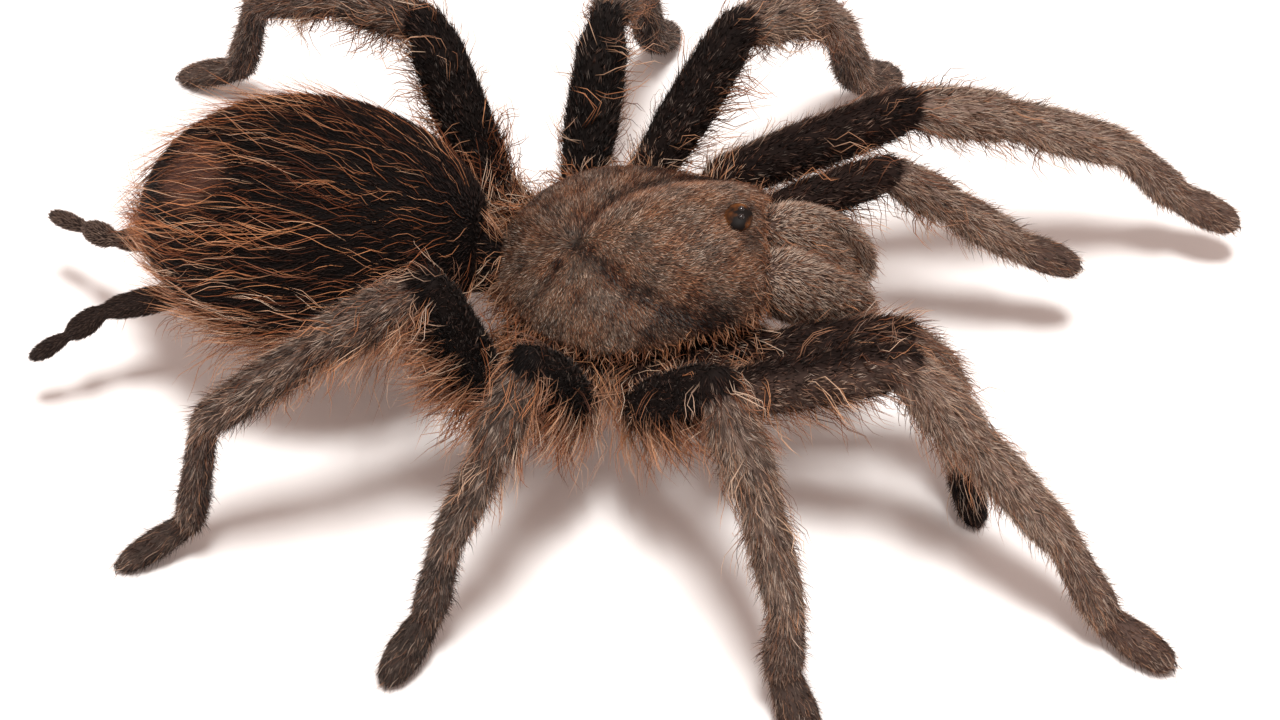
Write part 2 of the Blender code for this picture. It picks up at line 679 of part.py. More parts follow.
def build_chelicera(side_name, sign, parent):
    """One stout basal joint, with its fang folded under it."""
    rings = []
    steps = 9
    for k in range(steps):
        t = k / (steps - 1) * (len(CHELICERA_X) - 1)
        stations = tuple(range(len(CHELICERA_X)))
        spot = Vector((smooth(stations, CHELICERA_X, t), sign * smooth(stations, CHELICERA_SIDE, t),
                       smooth(stations, CHELICERA_Z, t)))
        ahead = Vector((smooth(stations, CHELICERA_X, t + 0.1) - smooth(stations, CHELICERA_X, t - 0.1), 0.0,
                        smooth(stations, CHELICERA_Z, t + 0.1) - smooth(stations, CHELICERA_Z, t - 0.1)))
        normal = ahead.normalized() if k else Vector((1.0, 0.0, 0.0))
        rings.append(ring(spot, normal, Vector((0, -1, 0)), smooth(stations, CHELICERA_HALF_WIDTH, t),
                          smooth(stations, CHELICERA_HALF_HEIGHT, t), 14))
    last = len(CHELICERA_X) - 1
    tip = Vector((CHELICERA_X[last] + 0.25, sign * CHELICERA_SIDE[last], CHELICERA_Z[last] - 0.35))
    normal = Vector((0.6, 0.0, -0.8))
    rings.append(ring(tip, normal, Vector((0, -1, 0)), 0.45, 0.5, 14))
    add_object(f"{side_name}_chelicera", skin_rings(rings), LEG_COLOUR, 0.75, parent)
    fang = []
    steps = 7
    root = Vector((12.2, sign * 1.55, -6.75))
    for k in range(steps):
        t = k / (steps - 1)
        bend = math.radians(100 * t)
        spot = root + Vector((-math.sin(bend) * 0.62, 0.0, math.cos(bend) * 0.25 - 0.25)) * FANG_LENGTH * 0.9
        way = Vector((-math.cos(bend), -0.1 * sign, -math.sin(bend) * 0.42)).normalized()
        r = FANG_RADIUS * (1 - t) ** 0.6 + 0.1
        fang.append(ring(spot, way, Vector((0, -1, 0)), r, r, 8))
    add_object(f"{side_name}_fang", skin_rings(fang), FANG_COLOUR, 0.2, parent)


def abdomen_matrix():
    """Placement of the abdomen; its own +X points at the pedicel."""
    turn = Matrix.Rotation(math.radians(ABDOMEN_YAW), 4, "Z") @ Matrix.Rotation(math.radians(-ABDOMEN_PITCH), 4, "Y")
    return Matrix.Translation(ABDOMEN_CENTRE) @ turn


def abdomen_ring_size(x):
    """Share of the full width and height at a place along the abdomen."""
    t = max(-1.0, min(1.0, x / ABDOMEN_HALF_LENGTH))
    round_part = math.sqrt(max(0.0, 1 - t * t))
    return round_part * (1.0 - 0.04 * t - 0.02 * t * t)


def abdomen_body(grow=0.0):
    """Egg-shaped hind body, a little wider behind, cut flat where the pedicel meets it."""
    around, stacks = 22, 14
    rings = []
    for s in range(stacks + 1):
        a = math.pi * s / stacks
        x = -ABDOMEN_HALF_LENGTH * math.cos(a)
        x = max(-ABDOMEN_HALF_LENGTH * 0.995, min(x, ABDOMEN_FRONT_CUT))
        size = abdomen_ring_size(x)
        points = []
        for i in range(around):
            b = 2 * math.pi * i / around
            points.append(Vector((x * (1 + grow / ABDOMEN_HALF_LENGTH),
                                  math.cos(b) * (size * ABDOMEN_HALF_WIDTH + grow),
                                  math.sin(b) * (size * ABDOMEN_HALF_HEIGHT + grow))))
        rings.append(points)
        if x >= ABDOMEN_FRONT_CUT:
            break
    return skin_rings(rings)


def build_abdomen(parent):
    """Hind body in one piece."""
    return add_object("abdomen", abdomen_body(), BODY_COLOUR, 0.85, parent)


def build_spinnerets(root, body_parent):
    """Two long hind spinnerets, three finger-like segments each, cut clear of the hind body."""
    for side_name, place in SPINNERET_ROOTS.items():
        joints = [Vector(place)]
        for length, (yaw, pitch) in zip(SPINNERET_LENGTHS, SPINNERET_POSE[side_name]):
            joints.append(joints[-1] + direction(yaw, pitch) * length)
        side = Vector((0, 1, 0))
        radii = [SPINNERET_RADIUS, SPINNERET_RADIUS * 0.92, SPINNERET_RADIUS * 0.72]
        rings = []
        ways = [(b - a).normalized() for a, b in zip(joints, joints[1:])]
        for k, way in enumerate(ways):
            for share, swell in ((0.08, 0.92), (0.5, 1.05), (0.92, 0.9)):
                rings.append(ring(joints[k].lerp(joints[k + 1], share), way, side, radii[k] * swell,
                                  radii[k] * swell, 8))
        rings.append(ring(joints[-1], ways[-1], side, radii[-1] * 0.45, radii[-1] * 0.45, 8))
        finger = add_object(f"{side_name}_spinneret", skin_rings(rings), LEG_COLOUR, 0.8, root)
        clear = add_object("abdomen_cutter", abdomen_body(GAP), BODY_COLOUR, 0.8, body_parent)
        fuse(finger, [clear], "DIFFERENCE")


def build_pedicel(root):
    """Narrow waist between the two halves of the body."""
    rings = []
    end = abdomen_matrix() @ Vector((ABDOMEN_FRONT_CUT + 2 * GAP, 0, -1.9))
    start = prosoma_matrix() @ Vector((-7.2, 0.0, -2.9))
    way = (end - start).normalized()
    for share, r in ((0.0, 0.8), (0.5, 0.7), (1.0, 0.8)):
        rings.append(ring(start.lerp(end, share), way, Vector((0, -1, 0)), r, r, 10))
    add_object("pedicel", skin_rings(rings), BODY_COLOUR, 0.8, root)


stance = bpy.data.objects.new("stance", None)
stance.location = STANCE_SHIFT * MM
bpy.context.scene.collection.objects.link(stance)

prosoma = bpy.data.objects.new("prosoma", None)
prosoma.parent = stance
prosoma.location = PROSOMA_CENTRE * MM
prosoma.rotation_euler = (0.0, math.radians(-PROSOMA_PITCH), 0.0)
bpy.context.scene.collection.objects.link(prosoma)

hind = bpy.data.objects.new("hind_body", None)
hind.parent = stance
hind.location = ABDOMEN_CENTRE * MM
hind.rotation_euler = (0.0, math.radians(-ABDOMEN_PITCH), math.radians(ABDOMEN_YAW))
bpy.context.scene.collection.objects.link(hind)

def between(pair):
    """A seeded draw between two sizes."""
    return pair[0] + (pair[1] - pair[0]) * RNG.random()


def limb_lock_specs(places, joints, radii, index):
    """Wanted locks of one limb segment."""
    length = (joints[index + 1] - joints[index]).length
    way = (joints[index + 1] - joints[index]).normalized()
    side = limb_side(joints)
    up = side.cross(way).normalized()
    across = way.cross(up).normalized()
    specs = []
    for share, angle in places:
        angle = math.radians(angle + RNG.uniform(-8, 8))
        normal = (across * math.cos(angle) + up * math.sin(angle)).normalized()
        share += RNG.uniform(-0.02, 0.02)
        spot = joints[index].lerp(joints[index + 1], share) + normal * (radii[index] * 1.0)
        specs.append((spot, way, normal, min(between(LIMB_LOCK_SHARE) * length, LIMB_LOCK_LONGEST),
                      LIMB_LOCK_WIDTH, between(LIMB_LOCK_LIFT),
                      RNG.uniform(-0.12, 0.12)))
    return specs


def add_limb_locks(neighbours):
    """Long bristly hair of legs and palps, gathered into locks on every segment."""
    for limb, joints in CHAINS.items():
        kind = limb.split("_")[1]
        if kind == "palp":
            plan = (("femur", (("femur", 0),)), ("patella_tibia", (("shank", 1), ("shank", 2))))
        else:
            plan = (("femur", (("femur", 0),)), ("patella", (("patella", 1),)), ("tibia", (("tibia", 2),)),
                    ("foot", (("foot", 3), ("shank", 4))))
        for part, stretches in plan:
            wanted = []
            for places, index in stretches:
                spots = LIMB_LOCKS[places][:2] if (part, places) == ("foot", "shank") else LIMB_LOCKS[places]
                wanted += limb_lock_specs(spots, joints, RADII[kind], index)
            grow_locks(bpy.data.objects[f"{limb}_{part}"], wanted, neighbours, SHORT_LOCK)


def add_chest_locks(neighbours):
    """Drooping tufts under the coxae."""
    wanted = []
    for kind, share, angle in CHEST_LOCKS:
        for sign in (1.0, -1.0):
            forward, sideways, height = HIPS[kind]
            hip = Vector((forward, sign * sideways, height))
            inner = Vector((forward * 0.5, sign * 2.6, height - 0.6))
            way = (hip - inner).normalized()
            side = Vector((-way.y, way.x, 0.0)).normalized()
            up = Vector((0, 0, 1)) - way * way.z
            up.normalize()
            a = math.radians(angle)
            normal = (side * math.cos(a) * sign + up * math.sin(a)).normalized()
            spot = inner.lerp(hip, share) + normal * RADII[kind][0] * 0.97
            wanted.append((spot, way, normal, between(CHEST_LOCK_LENGTH), CHEST_LOCK_WIDTH,
                           RNG.uniform(35, 50), RNG.uniform(-0.15, 0.15)))
    grow_locks(bpy.data.objects["coxae_and_sternum"], wanted, neighbours)


def hind_point(x, angle):
    """Point of the hind body's surface at a place along it and an angle round it, with its normal."""
    def spot(px, a):
        size = abdomen_ring_size(px)
        return Vector((px, math.cos(a) * size * ABDOMEN_HALF_WIDTH, math.sin(a) * size * ABDOMEN_HALF_HEIGHT))
    here = spot(x, angle)
    along = spot(x + 0.05, angle) - spot(x - 0.05, angle)
    around = spot(x, angle + 0.02) - spot(x, angle - 0.02)
    normal = around.cross(along).normalized()
    if normal.dot(here) < 0:
        normal = -normal
    return here, -along.normalized(), normal


def add_hind_locks(neighbours):
    """Long swept-back hair of the hind body in staggered rows, standing most on its back and end."""
    wanted = []
    for row in range(HIND_ROWS):
        a = math.pi * (0.13 + 0.80 * (row + 0.3) / HIND_ROWS)
        x = ABDOMEN_HALF_LENGTH * math.cos(a)
        size = abdomen_ring_size(x)
        count = max(5, round(HIND_AROUND * size))
        for k in range(count):
            angle = 2 * math.pi * (k + 0.5 * (row % 2) + RNG.uniform(-0.12, 0.12)) / count
            spot, lie, normal = hind_point(x + RNG.uniform(-0.25, 0.25), angle)
            back = max(0.0, math.sin(angle))
            rear = max(0.0, -x / ABDOMEN_HALF_LENGTH)
            lift = HIND_LOCK_LIFT[0] + (HIND_LOCK_LIFT[1] - HIND_LOCK_LIFT[0]) * (0.5 * back + 0.5 * rear)
            droop = lie + Vector((0, 0, -0.22)) * (1 - back)
            wanted.append((spot, droop, normal, between(HIND_LOCK_LENGTH), HIND_LOCK_WIDTH * (0.7 + 0.3 * size),
                           lift + RNG.uniform(-3, 3), RNG.uniform(-0.1, 0.1)))
    grow_locks(bpy.data.objects["abdomen"], wanted, neighbours)


CHAINS = build_limbs(stance)
build_carapace(prosoma)
build_eyes(prosoma)
build_chest(prosoma)
for name_of_side, hand in (("left", 1.0), ("right", -1.0)):
    build_chelicera(name_of_side, hand, prosoma)
build_abdomen(hind)
build_spinnerets(stance, hind)
build_pedicel(stance)

bpy.context.view_layer.update()
coat_neighbours = Neighbours()
add_limb_locks(coat_neighbours)
add_chest_locks(coat_neighbours)
add_hind_locks(coat_neighbours)
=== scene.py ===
"""The tarantula Aphonopelma madera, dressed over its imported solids.

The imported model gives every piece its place. This script gives the animal one skin, a shield, eyes, fangs
and claws, and a coat of solid hairs, and sets it under soft light on a pale floor. Sizes are in millimetres
up to the point where a mesh is made, and meshes are in metres. The head looks along +X, the animal's left
is +Y and the floor is Z = 0.
"""
import sys

import logging
import math
from dataclasses import dataclass, field
from enum import Enum
from typing import Iterable, Sequence

import bmesh
import bpy
import numpy as np
from mathutils import Matrix, Vector


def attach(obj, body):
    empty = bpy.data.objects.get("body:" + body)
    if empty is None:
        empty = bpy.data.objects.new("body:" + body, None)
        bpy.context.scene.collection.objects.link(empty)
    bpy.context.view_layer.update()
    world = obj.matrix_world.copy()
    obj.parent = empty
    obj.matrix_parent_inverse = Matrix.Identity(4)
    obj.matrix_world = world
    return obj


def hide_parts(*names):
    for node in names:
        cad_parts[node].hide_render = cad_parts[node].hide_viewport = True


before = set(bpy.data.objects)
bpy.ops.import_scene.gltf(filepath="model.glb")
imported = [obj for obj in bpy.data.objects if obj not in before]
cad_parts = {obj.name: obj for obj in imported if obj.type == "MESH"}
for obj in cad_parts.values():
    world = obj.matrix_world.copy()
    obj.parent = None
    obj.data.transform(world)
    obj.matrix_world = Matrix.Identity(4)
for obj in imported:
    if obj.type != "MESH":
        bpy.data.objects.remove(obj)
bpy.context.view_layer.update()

log = logging.getLogger("tarantula")
MM = 0.001
UP = np.array((0.0, 0.0, 1.0))
LEAST_TONE = 0.02


class Part(Enum):
    """Named stretches of the body, each with its own kind of coat."""

    COXA = 0
    FEMUR = 1
    PATELLA = 2
    TIBIA = 3
    METATARSUS = 4
    TARSUS = 5
    SPINNERET = 6
    WAIST = 7
    CHEST = 8
    HIND = 9


def unit(vectors: np.ndarray) -> np.ndarray:
    """Vectors of length one, along the last axis."""
    return vectors / np.maximum(np.linalg.norm(vectors, axis=-1, keepdims=True), 1e-12)


def inner(a: np.ndarray, b: np.ndarray) -> np.ndarray:
    """Scalar products along the last axis, kept as a column."""
    return np.sum(a * b, axis=-1, keepdims=True)


def heading(yaw: float, pitch: float) -> np.ndarray:
    """Unit vector from a heading and a slope in degrees."""
    y, p = math.radians(yaw), math.radians(pitch)
    return np.array((math.cos(y) * math.cos(p), math.sin(y) * math.cos(p), math.sin(p)))


def ramp_between(low: float, high: float, x: np.ndarray) -> np.ndarray:
    """Smooth step from 0 at low to 1 at high."""
    t = np.clip((np.asarray(x, float) - low) / (high - low), 0.0, 1.0)
    return t * t * (3 - 2 * t)


def bell(x: np.ndarray, middle: float, width: float) -> np.ndarray:
    """Bell curve of height one."""
    return np.exp(-(((np.asarray(x, float) - middle) / width) ** 2))


def through(stations: Sequence[float], values: Sequence[float], x: np.ndarray) -> np.ndarray:
    """Values at x on an even curve through the stations.

    Args:
        stations: Rising places.
        values: One value at each.
        x: Where to read the curve; held at the ends.

    Returns:
        The curve's values, in x's shape.
    """
    s, v = np.array(stations, float), np.array(values, float)
    x = np.clip(np.asarray(x, float), s[0], s[-1])
    k = np.clip(np.searchsorted(s, x, side="right") - 1, 0, len(s) - 2)
    t = (x - s[k]) / (s[k + 1] - s[k])
    padded = np.concatenate([[2 * v[0] - v[1]], v, [2 * v[-1] - v[-2]]])
    a, b = v[k], v[k + 1]
    slope_a, slope_b = (b - padded[k]) / 2, (padded[k + 3] - a) / 2
    t2, t3 = t * t, t * t * t
    leave, arrive = t3 - 2 * t2 + t, t3 - t2
    return (2 * t3 - 3 * t2 + 1) * a + leave * slope_a + (3 * t2 - 2 * t3) * b + arrive * slope_b


@dataclass(frozen=True)
class Placement:
    """Where a half of the body is, and how it is turned."""

    origin: tuple[float, float, float]
    yaw: float = 0.0
    pitch: float = 0.0

    def axes(self) -> np.ndarray:
        """Its own axes as rows, in the world."""
        ahead = heading(self.yaw, self.pitch)
        left = heading(self.yaw + 90, 0.0)
        return np.array((ahead, left, np.cross(ahead, left)))

    def world(self, points: np.ndarray) -> np.ndarray:
        """Points of its own frame, in the world."""
        return np.asarray(points, float) @ self.axes() + np.array(self.origin)

    def turned(self, vectors: np.ndarray) -> np.ndarray:
        """Directions of its own frame, in the world."""
        return np.asarray(vectors, float) @ self.axes()

    def local(self, points: np.ndarray) -> np.ndarray:
        """World points, in its own frame."""
        return (np.asarray(points, float) - np.array(self.origin)) @ self.axes().T

    def matrix(self, centre: Sequence[float]) -> Matrix:
        """Placement of a body that is turned with it, about a point of its own frame, in metres."""
        turn = Matrix([list(row) for row in self.axes().T]).to_4x4()
        return Matrix.Translation(Vector(self.world(centre)) * MM) @ turn


STANCE_SHIFT = np.array((-1.84, -1.28, 0.0))
PROSOMA = Placement(tuple(np.array((1.15, -0.35, 14.1)) + STANCE_SHIFT), 0.0, 5.0)
HIND_BODY = Placement(tuple(np.array((-17.75, 1.65, 14.0)) + STANCE_SHIFT), -5.7, 2.2)


@dataclass(frozen=True)
class Hoop:
    """An oval section across a limb or body."""

    centre: np.ndarray
    way: np.ndarray
    side: np.ndarray
    wide: float
    high: float

    def matrix(self) -> Matrix:
        """Placement of a unit circle as this section, in metres."""
        up = unit(np.cross(self.side, self.way))
        across = unit(np.cross(self.way, up))
        columns = np.array((across * self.wide, up * self.high, self.way, self.centre)).T * MM
        return Matrix([list(row) for row in columns] + [[0.0, 0.0, 0.0, 1.0]])


def loft(shape: bmesh.types.BMesh, hoops: Sequence[Hoop], sides: int) -> None:
    """Add a closed body through a row of sections.

    Args:
        shape: The mesh to add it to.
        hoops: The sections in order; the first and last are capped.
        sides: Corners of each section.
    """
    loops = []
    for k, hoop in enumerate(hoops):
        capped = k in (0, len(hoops) - 1)
        made = bmesh.ops.create_circle(shape, cap_ends=capped, segments=sides, radius=1.0,
                                       matrix=hoop.matrix())
        loops.append(set(made["verts"]))
    for before, after in zip(loops, loops[1:]):
        rims = {e for rim in (before, after) for v in rim for e in v.link_edges if e.other_vert(v) in rim}
        bmesh.ops.bridge_loops(shape, edges=list(rims))


@dataclass(frozen=True)
class LimbPlan:
    """One kind of limb: its hip in the shield's frame, lengths and half thickness of its parts."""

    hip: tuple[float, float, float]
    parts: tuple[Part, ...]
    lengths: tuple[float, ...]
    radii: tuple[float, ...]
    beard: float
    tone: tuple[float, ...]
    warmth: float
    femur_back: float = 0.0


LEG_PARTS = (Part.FEMUR, Part.PATELLA, Part.TIBIA, Part.METATARSUS, Part.TARSUS)
PALP_PARTS = (Part.FEMUR, Part.PATELLA, Part.TIBIA, Part.TARSUS)

PLANS = {
    "palp": LimbPlan((7.95, 5.0, -3.0), PALP_PARTS, (8.0, 5.2, 5.9, 4.7), (1.4, 1.35, 1.25, 1.15),
                     beard=0.7, tone=(0.24, 0.76, 0.80, 0.60), warmth=0.20),
    "leg1": LimbPlan((5.35, 8.0, -3.0), LEG_PARTS, (12.0, 6.6, 8.7, 6.9, 4.9), (1.8, 1.75, 1.5, 1.2, 1.2),
                     beard=0.8, tone=(0.16, 0.80, 0.84, 0.75, 0.68), femur_back=0.36, warmth=0.20),
    "leg2": LimbPlan((0.65, 8.7, -3.0), LEG_PARTS, (10.9, 6.4, 7.3, 6.9, 4.9), (1.8, 1.7, 1.4, 1.25, 1.3),
                     beard=1.2, tone=(0.14, 0.70, 0.73, 0.65, 0.58), warmth=0.12),
    "leg3": LimbPlan((-3.55, 8.2, -3.0), LEG_PARTS, (9.9, 5.8, 6.3, 7.6, 4.9), (1.85, 1.5, 1.25, 1.1, 1.2),
                     beard=1.4, tone=(0.10, 0.58, 0.61, 0.55, 0.53), warmth=0.05),
    "leg4": LimbPlan((-8.9, 7.0, -3.0), LEG_PARTS, (12.5, 6.6, 9.5, 11.0, 5.5), (1.9, 1.6, 1.35, 1.0, 1.0),
                     beard=1.5, tone=(0.10, 0.58, 0.63, 0.57, 0.56), warmth=0.10),
}

# Heading and slope of each part in degrees, from the hip outwards
POSES = {
    "right_palp": ((0, 16), (-13, -51), (-56, -73), (-62, -52)),
    "left_palp": ((3, 30), (2, -40), (0, -42), (-4, -26)),
    "right_leg1": ((-11, 32), (-22, -47), (-32, -39), (-30, -58), (-32, -16)),
    "left_leg1": ((8, 24), (9, -21), (6, -29), (6, -54), (-11, -30)),
    "right_leg2": ((-46, 56), (-61, -41), (-66, -52), (-74, -88), (-65, -30)),
    "left_leg2": ((43, 50), (40, -22), (59, -56), (50, -71), (41, -38)),
    "right_leg3": ((-125, 66), (-118, -41), (-137, -57), (-155, -78), (-127, -30)),
    "left_leg3": ((78, 50), (80, -25), (77, -48), (71, -76), (67, -44)),
    "right_leg4": ((-154, 76), (-158, -19), (-169, -40), (-175, -79), (-157, -26)),
    "left_leg4": ((130, 60), (148, -14), (143, -37), (130, -70), (163, -30)),
}

# Swelling along each part: share of its length, share of its half thickness
SWELL = {
    Part.COXA: ((0.0, 0.9), (0.35, 0.98), (0.8, 1.0)),
    Part.FEMUR: ((0.0, 0.95), (0.3, 1.05), (0.62, 1.04), (0.9, 1.0), (1.0, 0.93)),
    Part.PATELLA: ((0.0, 0.95), (0.25, 1.03), (0.5, 1.06), (0.8, 1.03), (1.0, 0.93)),
    Part.TIBIA: ((0.0, 0.95), (0.35, 1.06), (0.7, 1.03), (0.9, 1.0), (1.0, 0.90)),
    Part.METATARSUS: ((0.0, 0.95), (0.4, 1.0), (0.8, 1.10), (1.0, 0.98)),
    Part.TARSUS: ((0.0, 0.97), (0.35, 1.08), (0.65, 1.0), (0.85, 0.82), (0.95, 0.50), (0.985, 0.2)),
}
FOOT_END = ((0.0, 1.02), (0.35, 1.08), (0.65, 1.0), (0.85, 0.82), (0.96, 0.52), (1.0, 0.2))
SOLE_DEPTH = 0.15
RAISED_TIPS = {"left_leg1": 3.6, "left_palp": 6.5}
SKIN_DEPTH = 0.3
COAT_DEPTH = {Part.COXA: 0.35, Part.FEMUR: 0.32, Part.PATELLA: 0.32, Part.TIBIA: 0.26, Part.METATARSUS: 0.16,
              Part.TARSUS: 0.16}
PALP_COAT_DEPTH = 0.16


@dataclass
class Bone:
    """One straight stretch of a limb, with what is read from it at any point near it."""

    part: Part
    limb: str
    a: np.ndarray
    b: np.ndarray
    radius: float
    side: np.ndarray
    before: float
    first: bool = False

    def way(self) -> np.ndarray:
        """Unit vector along it."""
        return unit(self.b - self.a)


@dataclass
class Limb:
    """A leg or palp: its joints from the hip outwards, and the sections of its skin."""

    name: str
    joints: list[np.ndarray] = field(default_factory=list)
    crease_gap: float = 0.35
    crease_reach: float = 0.9
    crease_size: float = 0.88
    most_stretch: float = 1.28

    def __post_init__(self) -> None:
        """Find the joints from the pose, eased so that the last is at its height."""
        plan, sign = self.plan, self.sign
        hip = PROSOMA.world((plan.hip[0], sign * plan.hip[1], plan.hip[2]))
        joints = [hip]
        for length, (yaw, pitch) in zip(plan.lengths, POSES[self.name]):
            joints.append(joints[-1] + heading(yaw, pitch) * length)
        lift = self.tip_height() - joints[-1][2]
        self.joints = [joint + UP * (lift * k / (len(joints) - 1)) for k, joint in enumerate(joints)]

    @property
    def plan(self) -> LimbPlan:
        """The sizes of its kind."""
        return PLANS[self.name.split("_")[1]]

    @property
    def sign(self) -> float:
        """1 on the animal's left, -1 on its right."""
        return 1.0 if self.name.startswith("left") else -1.0

    @property
    def inner(self) -> np.ndarray:
        """Where the coxa leaves the breast."""
        hip = self.plan.hip
        return PROSOMA.world((hip[0] * 0.5, self.sign * 2.6, hip[2] - 0.6))

    @property
    def side(self) -> np.ndarray:
        """Level direction across the limb."""
        ahead = self.joints[-1] - self.joints[0]
        return unit(np.array((ahead[1], -ahead[0], 0.0)))

    def tip_height(self) -> float:
        """Height of the last joint that lets the pad press on the floor."""
        if self.name in RAISED_TIPS:
            return RAISED_TIPS[self.name]
        slope = math.radians(-POSES[self.name][-1][1])
        radius, length = self.plan.radii[-1], self.plan.lengths[-1]
        lows = [radius * swell * math.cos(slope) - (1 - share) * length * math.sin(slope)
                for share, swell in FOOT_END]
        return max(lows) - SOLE_DEPTH

    def bones(self) -> list[Bone]:
        """Its stretches, the coxa first."""
        plan = self.plan
        made = [Bone(Part.COXA, self.name, self.inner, self.joints[0], plan.radii[0], self.side, 0.0, True)]
        before = float(np.linalg.norm(self.joints[0] - self.inner))
        for k, part in enumerate(plan.parts):
            start, end = self.joints[k], self.joints[k + 1]
            made.append(Bone(part, self.name, start, end, plan.radii[k], self.side, before))
            before += plan.lengths[k]
        return made

    def depth_at(self, part: Part) -> float:
        """How far the skin lies inside the solid."""
        return min(COAT_DEPTH[part], PALP_COAT_DEPTH if "palp" in self.name else 1.0)

    def hoops(self) -> list[Hoop]:
        """Sections of the skin, with a crease at each joint."""
        bones = self.bones()
        hoops = []
        for k, bone in enumerate(bones):
            way, length = bone.way(), float(np.linalg.norm(bone.b - bone.a))
            bends = []
            for other in (bones[k - 1] if k else None, bones[k + 1] if k + 1 < len(bones) else None):
                turn = float(np.clip(way @ other.way(), -1, 1)) if other else 1.0
                bends.append(math.acos(turn) / 2)
            low, high = ((bone.radius * math.tan(bend) * self.crease_reach + self.crease_gap) / length
                         for bend in bends)
            last = k + 1 == len(bones)
            low = low if k else 0.0
            high = 1.0 if last else 1 - high
            for share, swell in SWELL[bone.part]:
                t = low + (high - low) * share
                r = bone.radius * swell - self.depth_at(bone.part) * (1.0 if share < 0.95 else 0.6)
                hoops.append(Hoop(bone.a + (bone.b - bone.a) * t, way, self.side, r, r))
            if not last:
                after = bones[k + 1]
                middle = unit(way + after.way())
                depth = min(self.depth_at(bone.part), self.depth_at(after.part))
                r = min(bone.radius, after.radius) * self.crease_size - depth
                stretch = min(self.most_stretch, (1 / math.cos(bends[1])) ** 0.75)
                hoops.append(Hoop(bone.b, middle, self.side, r, r * stretch))
        return hoops


@dataclass
class Spinneret:
    """One of the two long hind spinnerets: three finger-like segments."""

    name: str
    root: tuple[float, float, float]
    pose: tuple[tuple[float, float], ...]
    lengths: tuple[float, ...] = (5.6, 2.7, 3.4)
    radii: tuple[float, ...] = (0.95, 0.874, 0.684)

    @property
    def joints(self) -> list[np.ndarray]:
        """Its joints from the root outwards."""
        joints = [np.array(self.root) + STANCE_SHIFT]
        for length, (yaw, pitch) in zip(self.lengths, self.pose):
            joints.append(joints[-1] + heading(yaw, pitch) * length)
        return joints

    def bones(self) -> list[Bone]:
        """Its stretches."""
        joints, before, made = self.joints, 0.0, []
        for k, radius in enumerate(self.radii):
            made.append(Bone(Part.SPINNERET, self.name, joints[k], joints[k + 1], radius,
                             np.array((0.0, 1.0, 0.0)), before, k == 0))
            before += self.lengths[k]
        return made

    def hoops(self, depth: float) -> list[Hoop]:
        """Sections of the skin."""
        hoops = []
        for k, bone in enumerate(self.bones()):
            for share, swell in ((0.04, 0.66), (0.15, 0.92), (0.5, 1.08), (0.85, 0.94), (0.97, 0.66)):
                r = bone.radius * swell - depth
                hoops.append(Hoop(bone.a + (bone.b - bone.a) * share, bone.way(), bone.side, r, r))
        tip = self.bones()[-1]
        hoops.append(Hoop(tip.b, tip.way(), tip.side, 0.2, 0.2))
        return hoops


@dataclass
class HindBody:
    """The abdomen: an egg a little wider behind, in its own frame."""

    half_length: float = 10.9
    half_width: float = 7.8
    half_height: float = 8.0
    front: float = 10.1
    rub_spot: tuple[float, float, float] = (-6.6, -1.4, 6.0)
    rub_size: float = 2.9

    def size_at(self, x: np.ndarray) -> np.ndarray:
        """Share of the full width and height at a place along it."""
        t = np.clip(np.asarray(x, float) / self.half_length, -1.0, 1.0)
        return np.sqrt(np.maximum(0.0, 1 - t * t)) * (1.0 - 0.04 * t - 0.02 * t * t)

    def hoops(self, depth: float) -> list[Hoop]:
        """Sections of the skin."""
        hoops = []
        ahead, left = HIND_BODY.axes()[0], HIND_BODY.axes()[1]
        for a in np.linspace(0.03, 1.0, 34):
            x = -(self.half_length - depth) * math.cos(math.pi * a)
            if x > self.front:
                break
            size = float(self.size_at(x * self.half_length / (self.half_length - depth)))
            wide = max(size * self.half_width - depth, 0.3)
            high = max(size * self.half_height - depth, 0.3)
            hoops.append(Hoop(HIND_BODY.world((x, 0, 0)), ahead, -left, wide, high))
        return hoops

    def rubbed(self, points: np.ndarray) -> np.ndarray:
        """How bare the rubbed patch on the back is at world points, 0 to 1."""
        away = HIND_BODY.local(points) - np.array(self.rub_spot)
        wobble = 0.35 * np.sin(points[:, 0] * 2.3 + points[:, 1] * 1.7) + 0.2 * np.sin(points[:, 1] * 4.1)
        return 1 - ramp_between(0.55, 1.15, np.linalg.norm(away, axis=1) / self.rub_size + wobble * 0.3)


@dataclass
class Reading:
    """What the anatomy says at each of a list of points."""

    bone: np.ndarray
    part: np.ndarray
    share: np.ndarray
    along: np.ndarray
    angle: np.ndarray
    lie: np.ndarray
    straight: np.ndarray


